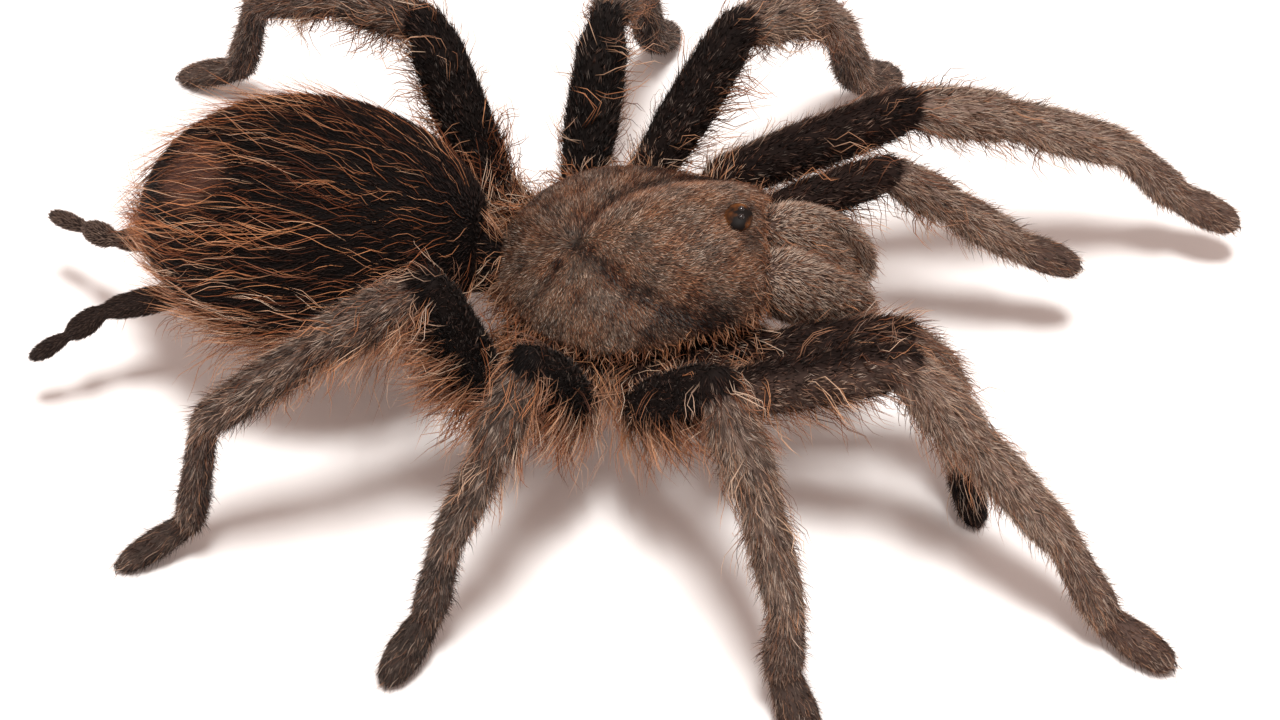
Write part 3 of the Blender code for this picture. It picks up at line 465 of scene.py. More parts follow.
class Anatomy:
    """All stretches of the body, and what part each point of the skin belongs to."""

    def __init__(self) -> None:
        """Lay out the limbs, the spinnerets and the waist."""
        self.limbs = [Limb(name) for name in POSES]
        self.spinnerets = [
            Spinneret("right_spinneret", (-25.5, -0.4, 9.6), ((-170, -9), (-155, -28), (-173, -39))),
            Spinneret("left_spinneret", (-25.3, 3.8, 9.5), ((180, -6), (142, -20), (146, -19))),
        ]
        self.hind = HindBody()
        self.chest_centre = (-0.8, 0.0, -3.4)
        self.chest_radii = (6.8, 5.7, 3.2)
        start = PROSOMA.world((-6.2, 0.0, -2.9))
        end = HIND_BODY.world((9.4, 0.0, -1.9))
        self.waist = Bone(Part.WAIST, "waist", start, end, 0.8, np.array((0.0, -1.0, 0.0)), 0.0, True)
        bodies = (*self.limbs, *self.spinnerets)
        self.bones = [bone for body in bodies for bone in body.bones()] + [self.waist]

    def read(self, points: np.ndarray) -> Reading:
        """Find the part of the body that each point lies on.

        Args:
            points: World points in mm.

        Returns:
            The part, the place along and round it, the lie of the coat, and the place as if the limb
            were straight.
        """
        best = np.full(len(points), np.inf)
        bone_of = np.full(len(points), -1)
        hind = HIND_BODY.local(points) / (self.hind.half_length, self.hind.half_width, self.hind.half_height)
        chest = (PROSOMA.local(points) - self.chest_centre) / self.chest_radii
        best_hind, best_chest = np.linalg.norm(hind, axis=1), np.linalg.norm(chest, axis=1)
        for k, bone in enumerate(self.bones):
            span = bone.b - bone.a
            t = np.clip((points - bone.a) @ span / (span @ span), 0.0, 1.0)
            rel = np.linalg.norm(points - bone.a - t[:, None] * span, axis=1) / bone.radius
            near = rel < best
            best[near], bone_of[near] = rel[near], k
        part = np.array([bone.part.value for bone in self.bones])[bone_of]
        on_chest = (best_chest < best) & (best_chest < best_hind)
        on_hind = (best_hind < best) & (best_hind <= best_chest)
        part[on_chest], part[on_hind] = Part.CHEST.value, Part.HIND.value
        share, along, angle = np.zeros(len(points)), np.zeros(len(points)), np.zeros(len(points))
        lie, straight = np.zeros((len(points), 3)), np.array(points, float)
        for k, bone in enumerate(self.bones):
            mine = np.flatnonzero((bone_of == k) & ~on_chest & ~on_hind)
            if not len(mine):
                continue
            span, way = bone.b - bone.a, bone.way()
            length = float(np.linalg.norm(span))
            up = unit(np.cross(bone.side, way))
            across = np.cross(way, up)
            off = points[mine] - bone.a
            t = np.clip(off @ span / (span @ span), -0.1, 1.1)
            share[mine], along[mine] = t, bone.before + t * length
            y, z = off @ across, off @ up
            angle[mine] = np.degrees(np.arctan2(z, y))
            straight[mine] = np.stack([along[mine], y, z], 1)
            ways = np.repeat(way[None], len(mine), 0)
            last = k + 1 >= len(self.bones) or self.bones[k + 1].first
            if not last:
                ways += ramp_between(0.75, 1.25, t)[:, None] * (self.bones[k + 1].way() - way)
            if not bone.first:
                ways += (1 - ramp_between(-0.25, 0.25, t))[:, None] * (self.bones[k - 1].way() - way)
            lie[mine] = unit(ways)
        local = HIND_BODY.local(points[on_hind])
        share[on_hind] = local[:, 0] / self.hind.half_length
        along[on_hind] = self.hind.half_length - local[:, 0]
        angle[on_hind] = np.degrees(np.arctan2(local[:, 2], local[:, 1]))
        straight[on_hind] = local
        lie[on_hind] = HIND_BODY.turned((-1.0, 0.0, 0.0))
        local = PROSOMA.local(points[on_chest])
        angle[on_chest] = -90.0
        straight[on_chest] = local
        outward = local * (0.5, 1.0, 0.0) + (-1.0, 0.0, -1.5)
        lie[on_chest] = PROSOMA.turned(unit(outward))
        return Reading(bone_of, part, share, along, angle, lie, straight)


def is_part(reading: Reading, *parts: Part) -> np.ndarray:
    """True where the reading is on one of the parts."""
    return np.isin(reading.part, [part.value for part in parts])


class Markings:
    """Tone, from 0 black to 1 pale, and warmth, from 0 grey to 1 orange, of skin and coat alike."""

    hind_tone = 0.03
    under_tone = 0.10
    palp_tip_tone = 0.03
    spinneret_tone = 0.30
    bare_tone = 0.45
    bare_warmth = 0.40

    def __init__(self, anatomy: Anatomy) -> None:
        """Keep the anatomy, and each bone's own tone."""
        self.anatomy = anatomy
        self.bone_tone = np.full(len(anatomy.bones), 0.2)
        self.bone_warmth = np.full(len(anatomy.bones), 0.1)
        self.bone_back = np.zeros(len(anatomy.bones))
        self.bone_hand = np.array([-1.0 if bone.limb.startswith("left") else 1.0 for bone in anatomy.bones])
        for k, bone in enumerate(anatomy.bones):
            if bone.part in LEG_PARTS:
                plan = PLANS[bone.limb.split("_")[1]]
                self.bone_tone[k] = plan.tone[plan.parts.index(bone.part)]
                self.bone_warmth[k] = plan.warmth
                self.bone_back[k] = plan.femur_back
                if bone.limb == "right_palp" and bone.part is Part.TARSUS:
                    self.bone_tone[k] = self.palp_tip_tone
            if bone.part is Part.SPINNERET:
                self.bone_tone[k] = self.spinneret_tone

    def tone(self, points: np.ndarray, reading: Reading) -> np.ndarray:
        """Tone of the short coat at world points, with painted shade in the joint creases and on the legs'
        undersides.
        """
        bone = np.maximum(reading.bone, 0)
        base = np.where(reading.bone >= 0, self.bone_tone[bone], 0.1)
        back = ramp_between(0.0, 0.8, np.cos(np.radians(reading.angle)) * self.bone_hand[bone])
        base = base + self.bone_back[bone] * back * is_part(reading, Part.FEMUR)
        stripes = bell(np.abs(reading.angle - 90.0), 26.0, 9.0) * is_part(reading, Part.PATELLA, Part.TIBIA)
        # Painted shade: darker in the crease at the near end of each patella, tibia and metatarsus.
        crease_shade = 2.4 * bell(reading.share, 0.0, 0.05)
        crease_shade = crease_shade * is_part(reading, Part.PATELLA, Part.TIBIA, Part.METATARSUS)
        # Painted shade: darker on the undersides of the legs, which face away from the light.
        beneath = ramp_between(-20.0, -70.0, reading.angle) * is_part(reading, *LEG_PARTS)
        right = self.bone_hand[bone] > 0
        toes = right * (0.09 * is_part(reading, Part.TARSUS) + 0.04 * is_part(reading, Part.METATARSUS))
        base = base + 0.10 * stripes - 0.13 * crease_shade - 0.16 * beneath - toes
        x, y, z = points.T
        cloud = 0.04 * np.sin(x * 1.3 + y * 0.9) * np.sin(y * 1.6 + z * 1.1)
        base = np.where(is_part(reading, Part.HIND), self.hind_tone, base + cloud)
        base = np.where(is_part(reading, Part.CHEST, Part.COXA, Part.WAIST), self.under_tone, base)
        return np.clip(base + self.bare_tone * self.bare(points, reading), 0.0, 1.0)

    def bare(self, points: np.ndarray, reading: Reading) -> np.ndarray:
        """How much of the rubbed patch shows at world points, 0 to 1."""
        return self.anatomy.hind.rubbed(points) * is_part(reading, Part.HIND)

    def warmth(self, points: np.ndarray, reading: Reading) -> np.ndarray:
        """Warmth of the short coat at world points."""
        base = np.where(reading.bone >= 0, self.bone_warmth[np.maximum(reading.bone, 0)], 0.35)
        base = base + 0.25 * is_part(reading, Part.COXA, Part.CHEST, Part.WAIST)
        return np.clip(base + self.bare_warmth * self.bare(points, reading), 0.0, 1.0)


Stops = tuple[tuple[float, str], ...]


def to_linear(colour: str) -> tuple[float, float, float, float]:
    """Linear colour from an sRGB hex value such as "a06040"."""
    parts = [int(colour[k:k + 2], 16) / 255 for k in (0, 2, 4)]
    return (*(c / 12.92 if c <= 0.04045 else ((c + 0.055) / 1.055) ** 2.4 for c in parts), 1.0)


def set_inputs(tree: bpy.types.NodeTree, node: bpy.types.Node, inputs: dict) -> None:
    """Set a node's sockets to values, or link them from other sockets."""
    for name, value in inputs.items():
        if isinstance(value, bpy.types.NodeSocket):
            tree.links.new(value, node.inputs[name])
        else:
            node.inputs[name].default_value = value


def add_node(tree: bpy.types.NodeTree, kind: str, settings: dict, inputs: dict) -> bpy.types.Node:
    """Add a node with its settings and links.

    Args:
        tree: The material's nodes.
        kind: Blender's name for the node.
        settings: Its properties; "stops" gives a colour ramp's (place, hex colour) pairs.
        inputs: Its sockets' values, or the sockets that they are linked from.

    Returns:
        The node.
    """
    made = tree.nodes.new(kind)
    for name, value in settings.items():
        if name == "stops":
            elements = made.color_ramp.elements
            while len(elements) < len(value):
                elements.new(0.5)
            for element, (place, colour) in zip(elements, value):
                element.position = place
                element.color = to_linear(colour)
        else:
            setattr(made, name, value)
    set_inputs(tree, made, inputs)
    return made


def new_material(name: str) -> tuple[bpy.types.Material, bpy.types.NodeTree, bpy.types.Node]:
    """An empty material with only its Principled shader and output."""
    material = bpy.data.materials.new(name)
    material.use_nodes = True
    return material, material.node_tree, material.node_tree.nodes["Principled BSDF"]


def mixed_scales(tree: bpy.types.NodeTree, level: bpy.types.NodeSocket, grey: Stops,
                 rusty: Stops) -> bpy.types.NodeSocket:
    """Read a grey and a rusty scale at one level, and mix them by the stored warmth.

    Args:
        tree: The material's nodes.
        level: Where the scales are read, 0 to 1.
        grey: The colours where there is no warmth.
        rusty: The colours where it is full.

    Returns:
        The mixed colour.
    """
    warm = add_node(tree, "ShaderNodeAttribute", {"attribute_name": "warm"}, {})
    cold_hue = add_node(tree, "ShaderNodeValToRGB", {"stops": grey}, {"Fac": level})
    warm_hue = add_node(tree, "ShaderNodeValToRGB", {"stops": rusty}, {"Fac": level})
    hue = add_node(tree, "ShaderNodeMix", {"data_type": "RGBA"},
                   {"Factor": warm.outputs["Fac"], "A": cold_hue.outputs["Color"],
                    "B": warm_hue.outputs["Color"]})
    return hue.outputs["Result"]


def grained_tone(tree: bpy.types.NodeTree, grain: bpy.types.NodeSocket) -> bpy.types.NodeSocket:
    """The stored tone, raised and lowered by 0.15 at most with a grain."""
    tone = add_node(tree, "ShaderNodeAttribute", {"attribute_name": "tone"}, {})
    shifted = add_node(tree, "ShaderNodeMath", {"operation": "MULTIPLY_ADD"}, {0: grain, 1: 0.3, 2: -0.15})
    level = add_node(tree, "ShaderNodeMath", {"operation": "ADD"},
                     {0: tone.outputs["Fac"], 1: shifted.outputs["Value"]})
    return level.outputs["Value"]


@dataclass(frozen=True)
class HairFinish:
    """Keratin-like hair: dull and dark at the root, paler and a little glossy along its length.

    Two colour scales, one grey and one rusty, are mixed by the hair's own warmth, and each is read at its
    tone, so that single hairs differ as real ones do.
    """

    name: str
    grey: Stops = ((0.0, "090706"), (0.25, "2d2724"), (0.5, "60564f"), (0.75, "978679"), (1.0, "d8c8ba"))
    rusty: Stops = ((0.0, "1f0d07"), (0.3, "64331b"), (0.55, "aa6640"), (0.8, "dc9a6a"), (1.0, "f6d2b2"))
    roughness: float = 0.55
    shine: float = 0.16
    root_shade: float = 0.28
    tip_shade: float = 1.22

    def material(self) -> bpy.types.Material:
        """Build the finish."""
        made, tree, shader = new_material(self.name)
        tone = add_node(tree, "ShaderNodeAttribute", {"attribute_name": "tone"}, {})
        along = add_node(tree, "ShaderNodeAttribute", {"attribute_name": "along"}, {})
        shade = add_node(tree, "ShaderNodeMapRange", {},
                         {"Value": along.outputs["Fac"], "To Min": self.root_shade,
                          "To Max": self.tip_shade})
        dim = add_node(tree, "ShaderNodeVectorMath", {"operation": "SCALE"},
                       {"Vector": mixed_scales(tree, tone.outputs["Fac"], self.grey, self.rusty),
                        "Scale": shade.outputs["Result"]})
        set_inputs(tree, shader, {"Base Color": dim.outputs["Vector"], "Roughness": self.roughness,
                                  "Specular IOR Level": self.shine})
        return made


@dataclass(frozen=True)
class VelvetSkinFinish:
    """Cuticle under dense velvet: nearly black, dull, streaked along the lie of the fur.

    The streaks are 0.12 mm wide, the width of a few hairs side by side, and ten times as long.
    """

    name: str = "velvet_skin"
    streak: float = 0.12
    relief: float = 0.08
    grey: Stops = ((0.0, "040303"), (0.3, "1e1a18"), (0.6, "463e39"), (1.0, "786b61"))
    rusty: Stops = ((0.0, "0b0504"), (0.4, "3f2016"), (0.7, "6e4032"), (1.0, "916254"))
    roughness: float = 0.75
    shine: float = 0.08

    def material(self) -> bpy.types.Material:
        """Build the finish."""
        made, tree, shader = new_material(self.name)
        place = add_node(tree, "ShaderNodeAttribute", {"attribute_name": "straight"}, {})
        stretched = add_node(tree, "ShaderNodeMapping", {},
                             {"Vector": place.outputs["Vector"], "Scale": (0.1, 1.0, 1.0)})
        streaks = add_node(tree, "ShaderNodeTexNoise", {},
                           {"Vector": stretched.outputs["Vector"], "Scale": 1 / self.streak / 2,
                            "Detail": 4.0})
        level = grained_tone(tree, streaks.outputs["Fac"])
        bump = add_node(tree, "ShaderNodeBump", {},
                        {"Height": streaks.outputs["Fac"], "Strength": 0.6, "Distance": self.relief * MM})
        set_inputs(tree, shader, {"Base Color": mixed_scales(tree, level, self.grey, self.rusty),
                                  "Normal": bump.outputs["Normal"], "Roughness": self.roughness,
                                  "Specular IOR Level": self.shine})
        return made


@dataclass(frozen=True)
class ShieldFinish:
    """Carapace: hard brown cuticle under short silk, with darker furrows, partly their own colour and partly
    painted shade, and bluish bare patches.
    """

    name: str = "shield_cuticle"
    grain: float = 0.25
    relief: float = 0.05
    stops: Stops = ((0.0, "0d0806"), (0.35, "2c221b"), (0.6, "514133"), (1.0, "7c6856"))
    roughness: float = 0.55
    shine: float = 0.3

    def material(self) -> bpy.types.Material:
        """Build the finish."""
        made, tree, shader = new_material(self.name)
        place = add_node(tree, "ShaderNodeTexCoord", {}, {})
        grain = add_node(tree, "ShaderNodeTexNoise", {},
                         {"Vector": place.outputs["Object"], "Scale": 1 / (self.grain * MM) / 2,
                          "Detail": 5.0})
        hue = add_node(tree, "ShaderNodeValToRGB", {"stops": self.stops},
                       {"Fac": grained_tone(tree, grain.outputs["Fac"])})
        bump = add_node(tree, "ShaderNodeBump", {},
                        {"Height": grain.outputs["Fac"], "Strength": 0.4, "Distance": self.relief * MM})
        set_inputs(tree, shader, {"Base Color": hue.outputs["Color"], "Normal": bump.outputs["Normal"],
                                  "Roughness": self.roughness, "Specular IOR Level": self.shine})
        return made


@dataclass(frozen=True)
class CloudyFinish:
    """Two or three hues that run into one another in clouds of one size, given in mm."""

    name: str
    stops: Stops
    cloud: float
    surface: tuple[tuple[str, float], ...]
    detail: float = 3.0

    def material(self) -> bpy.types.Material:
        """Build the finish."""
        made, tree, shader = new_material(self.name)
        place = add_node(tree, "ShaderNodeTexCoord", {}, {})
        clouds = add_node(tree, "ShaderNodeTexNoise", {},
                          {"Vector": place.outputs["Object"], "Scale": 1 / (self.cloud * MM) / 2,
                           "Detail": self.detail})
        hue = add_node(tree, "ShaderNodeValToRGB", {"stops": self.stops}, {"Fac": clouds.outputs["Fac"]})
        set_inputs(tree, shader, {"Base Color": hue.outputs["Color"], **dict(self.surface)})
        return made


@dataclass(frozen=True)
class HornFinish(CloudyFinish):
    """Fang and claw: polished black cuticle, reddish where it is thin, with fine growth lines."""

    name: str
    stops: Stops = ((0.35, "070404"), (0.7, "26110c"))
    cloud: float = 0.1
    surface: tuple[tuple[str, float], ...] = (("Roughness", 0.16), ("IOR", 1.56))


@dataclass(frozen=True)
class MoundFinish(CloudyFinish):
    """Cuticle of the eye mound: black, dull, amber in patches 0.5 mm across."""

    name: str = "mound_cuticle"
    stops: Stops = ((0.40, "0c0604"), (0.55, "5a3416"), (0.70, "9a6a38"))
    cloud: float = 0.5
    surface: tuple[tuple[str, float], ...] = (("Roughness", 0.6), ("Specular IOR Level", 0.15))


@dataclass(frozen=True)
class EyeFinish(CloudyFinish):
    """Lens of an eye: clear, very smooth cuticle over a dark or a silvery ground."""

    name: str
    stops: Stops
    cloud: float = 0.2
    surface: tuple[tuple[str, float], ...] = (("Roughness", 0.06), ("IOR", 1.5), ("Coat Weight", 0.6),
                                              ("Coat Roughness", 0.03))
    detail: float = 2.0


@dataclass(frozen=True)
class FloorFinish(CloudyFinish):
    """Matt white card, with a faint cloudiness that keeps it from looking empty."""

    name: str = "white_card"
    stops: Stops = ((0.2, "f1efed"), (0.8, "f6f5f4"))
    cloud: float = 50 / 3
    surface: tuple[tuple[str, float], ...] = (("Roughness", 0.85), ("Specular IOR Level", 0.2))
    detail: float = 2.0


def link_object(name: str, data: bpy.types.ID) -> bpy.types.Object:
    """Put an object with this mesh, lamp or camera into the scene."""
    made = bpy.data.objects.new(name, data)
    bpy.context.scene.collection.objects.link(made)
    return made


def link_piece(name: str, shape: bmesh.types.BMesh, material: bpy.types.Material) -> bpy.types.Object:
    """Make an object of a finished shape, with its faces outward and smooth."""
    bmesh.ops.recalc_face_normals(shape, faces=shape.faces)
    mesh = bpy.data.meshes.new(name)
    shape.to_mesh(mesh)
    shape.free()
    mesh.shade_smooth()
    mesh.materials.append(material)
    return link_object(name, mesh)


def report(piece: bpy.types.Object) -> None:
    """Log a piece's name and number of triangles."""
    faces = piece.data.polygons
    counts = np.zeros(len(faces), int)
    faces.foreach_get("loop_total", counts)
    log.info("%s: %d triangles", piece.name, int((counts - 2).sum()))


def read_points(mesh: bpy.types.Mesh) -> np.ndarray:
    """Places of a mesh's points, in mm."""
    places = np.zeros(len(mesh.vertices) * 3)
    mesh.vertices.foreach_get("co", places)
    return places.reshape(-1, 3) / MM


def set_points(mesh: bpy.types.Mesh, name: str, kind: str, values: np.ndarray) -> None:
    """Store a value or a vector at each point of a mesh."""
    layer = mesh.attributes.new(name, kind, "POINT")
    channel = "vector" if kind == "FLOAT_VECTOR" else "value"
    layer.data.foreach_set(channel, values.astype(np.float32).ravel())


def spread_about(rng: np.random.Generator, middle: np.ndarray | float, spread: float, count: int,
                 least: float = 0.0) -> np.ndarray:
    """Draw tones or warmths about a middle, held between the least value and 1."""
    return np.clip(middle + rng.normal(0, spread, count), least, 1.0)


class Surface:
    """Triangles of a finished piece, ready to be planted with hair. Places are in mm."""

    def __init__(self, piece: bpy.types.Object) -> None:
        """Read the piece's triangles."""
        mesh = piece.data
        mesh.calc_loop_triangles()
        self.points = read_points(mesh)
        normals = np.zeros(len(mesh.vertices) * 3, np.float32)
        mesh.vertex_normals.foreach_get("vector", normals)
        self.normals = normals.reshape(-1, 3).astype(float)
        corners = np.zeros(len(mesh.loop_triangles) * 3, int)
        mesh.loop_triangles.foreach_get("vertices", corners)
        self.corners = corners.reshape(-1, 3)
        a, b, c = (self.points[self.corners[:, k]] for k in range(3))
        self.centres = (a + b + c) / 3
        self.areas = 0.5 * np.linalg.norm(np.cross(b - a, c - a), axis=1)
        self.outward = unit(np.cross(b - a, c - a))

    def plant(self, per_mm2: np.ndarray, rng: np.random.Generator) -> "Roots":
        """Choose evenly spread roots.

        Args:
            per_mm2: How many hairs grow on a square millimetre, for each triangle.
            rng: The seeded source of chance.

        Returns:
            The roots' places and the surface's normals there.
        """
        wanted = np.cumsum(self.areas * np.maximum(per_mm2, 0.0))
        count = int(wanted[-1])
        spots = (np.arange(count) + rng.random(count)) / max(count, 1) * wanted[-1]
        face = np.minimum(np.searchsorted(wanted, spots), len(wanted) - 1)
        u, v = rng.random(count), rng.random(count)
        over = u + v > 1
        u[over], v[over] = 1 - u[over], 1 - v[over]
        weights = np.stack([1 - u - v, u, v], 1)[:, :, None]
        corners = self.corners[face]
        return Roots((self.points[corners] * weights).sum(1), unit((self.normals[corners] * weights).sum(1)))


@dataclass
class Roots:
    """Where hairs grow, and which way is out."""

    spots: np.ndarray
    normals: np.ndarray

    def __len__(self) -> int:
        """How many there are."""
        return len(self.spots)

    def bundled(self, count: int, spread: float, rng: np.random.Generator) -> "Roots":
        """The same roots, each split into a bundle.

        Args:
            count: Hairs in a bundle.
            spread: How far they stand from its middle, in mm.
            rng: The seeded source of chance.

        Returns:
            The roots of all bundles, one bundle after another.
        """
        if count == 1:
            return self
        normals = np.repeat(self.normals, count, 0)
        off = rng.normal(0, spread, normals.shape)
        off -= normals * inner(off, normals)
        return Roots(np.repeat(self.spots, count, 0) + off, normals)


@dataclass(frozen=True)
class Strand:
    """The shape of one kind of hair. Sizes are in mm, angles in degrees.

    It leaves the skin at its lift, turns back by its fall, is pulled down by its sag and waves sideways.
    Hairs may grow in bundles that stand apart at the root and draw together by a share at their tips.
    """

    length: tuple[float, float]
    width: float
    lift: tuple[float, float]
    fall: float = 0.0
    sag: float = 0.0
    wave: float = 0.0
    stray: float = 10.0
    rings: int = 1
    flat: float = 0.6
    bundle: int = 1
    apart: float = 0.13
    gather: float = 0.6


@dataclass
class Coat:
    """Hairs of one or more kinds that are joined in one piece.

    What is its own to each hair of a bundle is drawn with the spreads whose names begin with own.
    """

    name: str
    rng: np.random.Generator
    points: list[np.ndarray] = field(default_factory=list)
    faces: list[np.ndarray] = field(default_factory=list)
    maps: list[np.ndarray] = field(default_factory=list)
    values: list[np.ndarray] = field(default_factory=list)
    total: int = 0
    patch: float = 0.003
    root_share: float = 0.05
    deepest: float = 0.1
    floor: float = 0.03
    own_tone: float = 0.07
    own_length: float = 0.12
    own_lift: float = 3.0
    own_stray: float = 0.35
    own_phase: float = 0.35
    own_turns: float = 0.05
    turns: tuple[float, float] = (0.6, 1.4)
    taper: float = 0.8

    def shared(self, middle: float | tuple[float, float], own: float, bundles: int,
               strand: Strand) -> np.ndarray:
        """Draw a value for each hair, near its bundle's.

        Args:
            middle: The bundles' spread about zero, or the two ends that they lie between.
            own: Spread of the hairs about their bundle.
            bundles: How many bundles there are.
            strand: The kind of hair.

        Returns:
            A column with the value of every hair.
        """
        if isinstance(middle, tuple):
            common = self.rng.uniform(*middle, (bundles, 1))
        else:
            common = self.rng.normal(0, middle, (bundles, 1))
        if strand.bundle == 1:
            return common
        return np.repeat(common, strand.bundle, 0) + self.rng.normal(0, own, (bundles * strand.bundle, 1))

    def grow(self, roots: Roots, lie: np.ndarray, strand: Strand, tone: np.ndarray, warm: np.ndarray,
             place: np.ndarray, size: np.ndarray | float = 1.0) -> None:
        """Add hairs to the coat, one or one bundle at each root.

        Args:
            roots: Where they grow.
            lie: The way in which each hair lies.
            strand: The kind of hair.
            tone: Each hair's tone.
            warm: Each hair's warmth.
            place: Each root's place on the unwrapped skin, from 0 to 1 both ways.
            size: Each hair's own scale.
        """
        bundles, many, rings = len(roots), strand.bundle, strand.rings
        if not bundles:
            return
        roots = roots.bundled(many, strand.apart, self.rng)
        lie, tone, warm, place, size = (np.repeat(v, many, 0) for v in (
            lie, tone, warm, place, np.broadcast_to(size, bundles)))
        if many > 1:
            tone = spread_about(self.rng, tone, self.own_tone, len(tone), LEAST_TONE)
        normal = roots.normals
        length = np.abs(self.shared(strand.length, self.own_length * strand.length[1], bundles, strand))
        length = length * size[:, None]
        lift = np.radians(self.shared(strand.lift, self.own_lift, bundles, strand))
        lie = unit(lie - normal * inner(lie, normal))
        side = np.cross(normal, lie)
        stray = np.radians(self.shared(strand.stray, strand.stray * self.own_stray, bundles, strand))
        lie, side = lie * np.cos(stray) + side * np.sin(stray), side * np.cos(stray) - lie * np.sin(stray)
        phase = self.shared((0.0, 2 * math.pi), self.own_phase, bundles, strand)
        turns = self.shared(self.turns, self.own_turns, bundles, strand)
        line = [roots.spots - normal * np.minimum(self.root_share * length, self.deepest)]
        for k in range(rings):
            middle = (k + 0.5) / rings
            rise = lift - math.radians(strand.fall) * 2 * middle
            sway = np.radians(strand.wave) * np.sin(phase + 2 * math.pi * turns * middle)
            way = (lie * np.cos(rise) + normal * np.sin(rise)) * np.cos(sway) + side * np.sin(sway)
            way = unit(way - UP * (strand.sag * middle * 1.5))
            line.append(line[-1] + way * (length / rings))
        line = np.stack(line, 1)
        if many > 1:
            grouped = line.reshape(bundles, many, rings + 1, 3)
            steps = np.sin(np.linspace(0, math.pi / 2, rings + 1))[None, None, :, None] * strand.gather
            line = (grouped + (grouped.mean(1, keepdims=True) - grouped) * steps).reshape(-1, rings + 1, 3)
        line[:, :, 2] = np.maximum(line[:, :, 2], self.floor)
        self._solidify(line, roots, strand, length, tone, warm, place)

    def _solidify(self, line: np.ndarray, roots: Roots, strand: Strand, length: np.ndarray, tone: np.ndarray,
                  warm: np.ndarray, place: np.ndarray) -> None:
        """Give each hair a three-sided section that tapers to its tip, closed at its root."""
        count, rings = len(line), strand.rings
        steps = np.arange(rings) / rings
        ways = unit(np.diff(line, axis=1))
        ways[:, 1:] = unit(ways[:, 1:] + ways[:, :-1])
        across = unit(np.cross(roots.normals[:, None], ways))
        up = np.cross(ways, across)
        long_share = np.clip(length / np.mean(strand.length), 0.6, 1.3)[:, None]
        half = (0.5 * strand.width * (1 - steps ** 1.6 * self.taper))[None, :, None] * long_share
        corners = [line[:, :rings] + across * half - up * half * strand.flat * 0.6,
                   line[:, :rings] - across * half - up * half * strand.flat * 0.6,
                   line[:, :rings] + up * half * strand.flat * 1.2]
        body = np.stack(corners, 2).reshape(count, rings * 3, 3)
        points = np.concatenate([body, line[:, -1:]], 1)
        per = rings * 3 + 1
        pattern = [(2, 1, 0)]
        for k in range(0, (rings - 1) * 3, 3):
            for i in range(3):
                j = (i + 1) % 3
                pattern += [(k + i, k + j, k + 3 + j), (k + i, k + 3 + j, k + 3 + i)]
        last = (rings - 1) * 3
        pattern += [(last + i, last + (i + 1) % 3, per - 1) for i in range(3)]
        faces = np.array(pattern)[None] + (self.total + np.arange(count) * per)[:, None, None]
        along = np.append(np.repeat(steps, 3), 1.0)
        corner = np.append(np.tile((0.0, 1.0, 0.5), rings), 0.5)
        patch = np.stack([along, corner], 1) * self.patch
        maps = np.clip(place, 0.0, 1.0)[:, None] * (1 - self.patch) + patch[None]
        values = np.stack(np.broadcast_arrays(tone[:, None], warm[:, None], along[None]), 2)
        self.points.append(points.reshape(-1, 3))
        self.faces.append(faces.reshape(-1, 3))
        self.maps.append(maps.reshape(-1, 2))
        self.values.append(values.reshape(-1, 3))
        self.total += count * per

    def finish(self, material: bpy.types.Material, slot: str) -> bpy.types.Object:
        """Join all its hairs in one piece that rides on the body.

        Args:
            material: The hairs' finish.
            slot: Not used.

        Returns:
            The piece.
        """
        points, faces = np.concatenate(self.points), np.concatenate(self.faces)
        maps, values = np.concatenate(self.maps), np.concatenate(self.values)
        mesh = bpy.data.meshes.new(self.name)
        mesh.vertices.add(len(points))
        mesh.vertices.foreach_set("co", (points * MM).astype(np.float32).ravel())
        mesh.loops.add(faces.size)
        mesh.loops.foreach_set("vertex_index", faces.ravel().astype(np.int32))
        mesh.polygons.add(len(faces))
        mesh.polygons.foreach_set("loop_start", np.arange(0, faces.size, 3, dtype=np.int32))
        mesh.update(calc_edges=True)
        mesh.shade_smooth()
        layer = mesh.uv_layers.new(name="OFBake")
        layer.data.foreach_set("uv", maps[faces.ravel()].astype(np.float32).ravel())
        for k, name in enumerate(("tone", "warm", "along")):
            set_points(mesh, name, "FLOAT", values[:, k])
        mesh.materials.append(material)
        piece = link_object(self.name, mesh)
        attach(piece, "root")
        report(piece)
        return piece


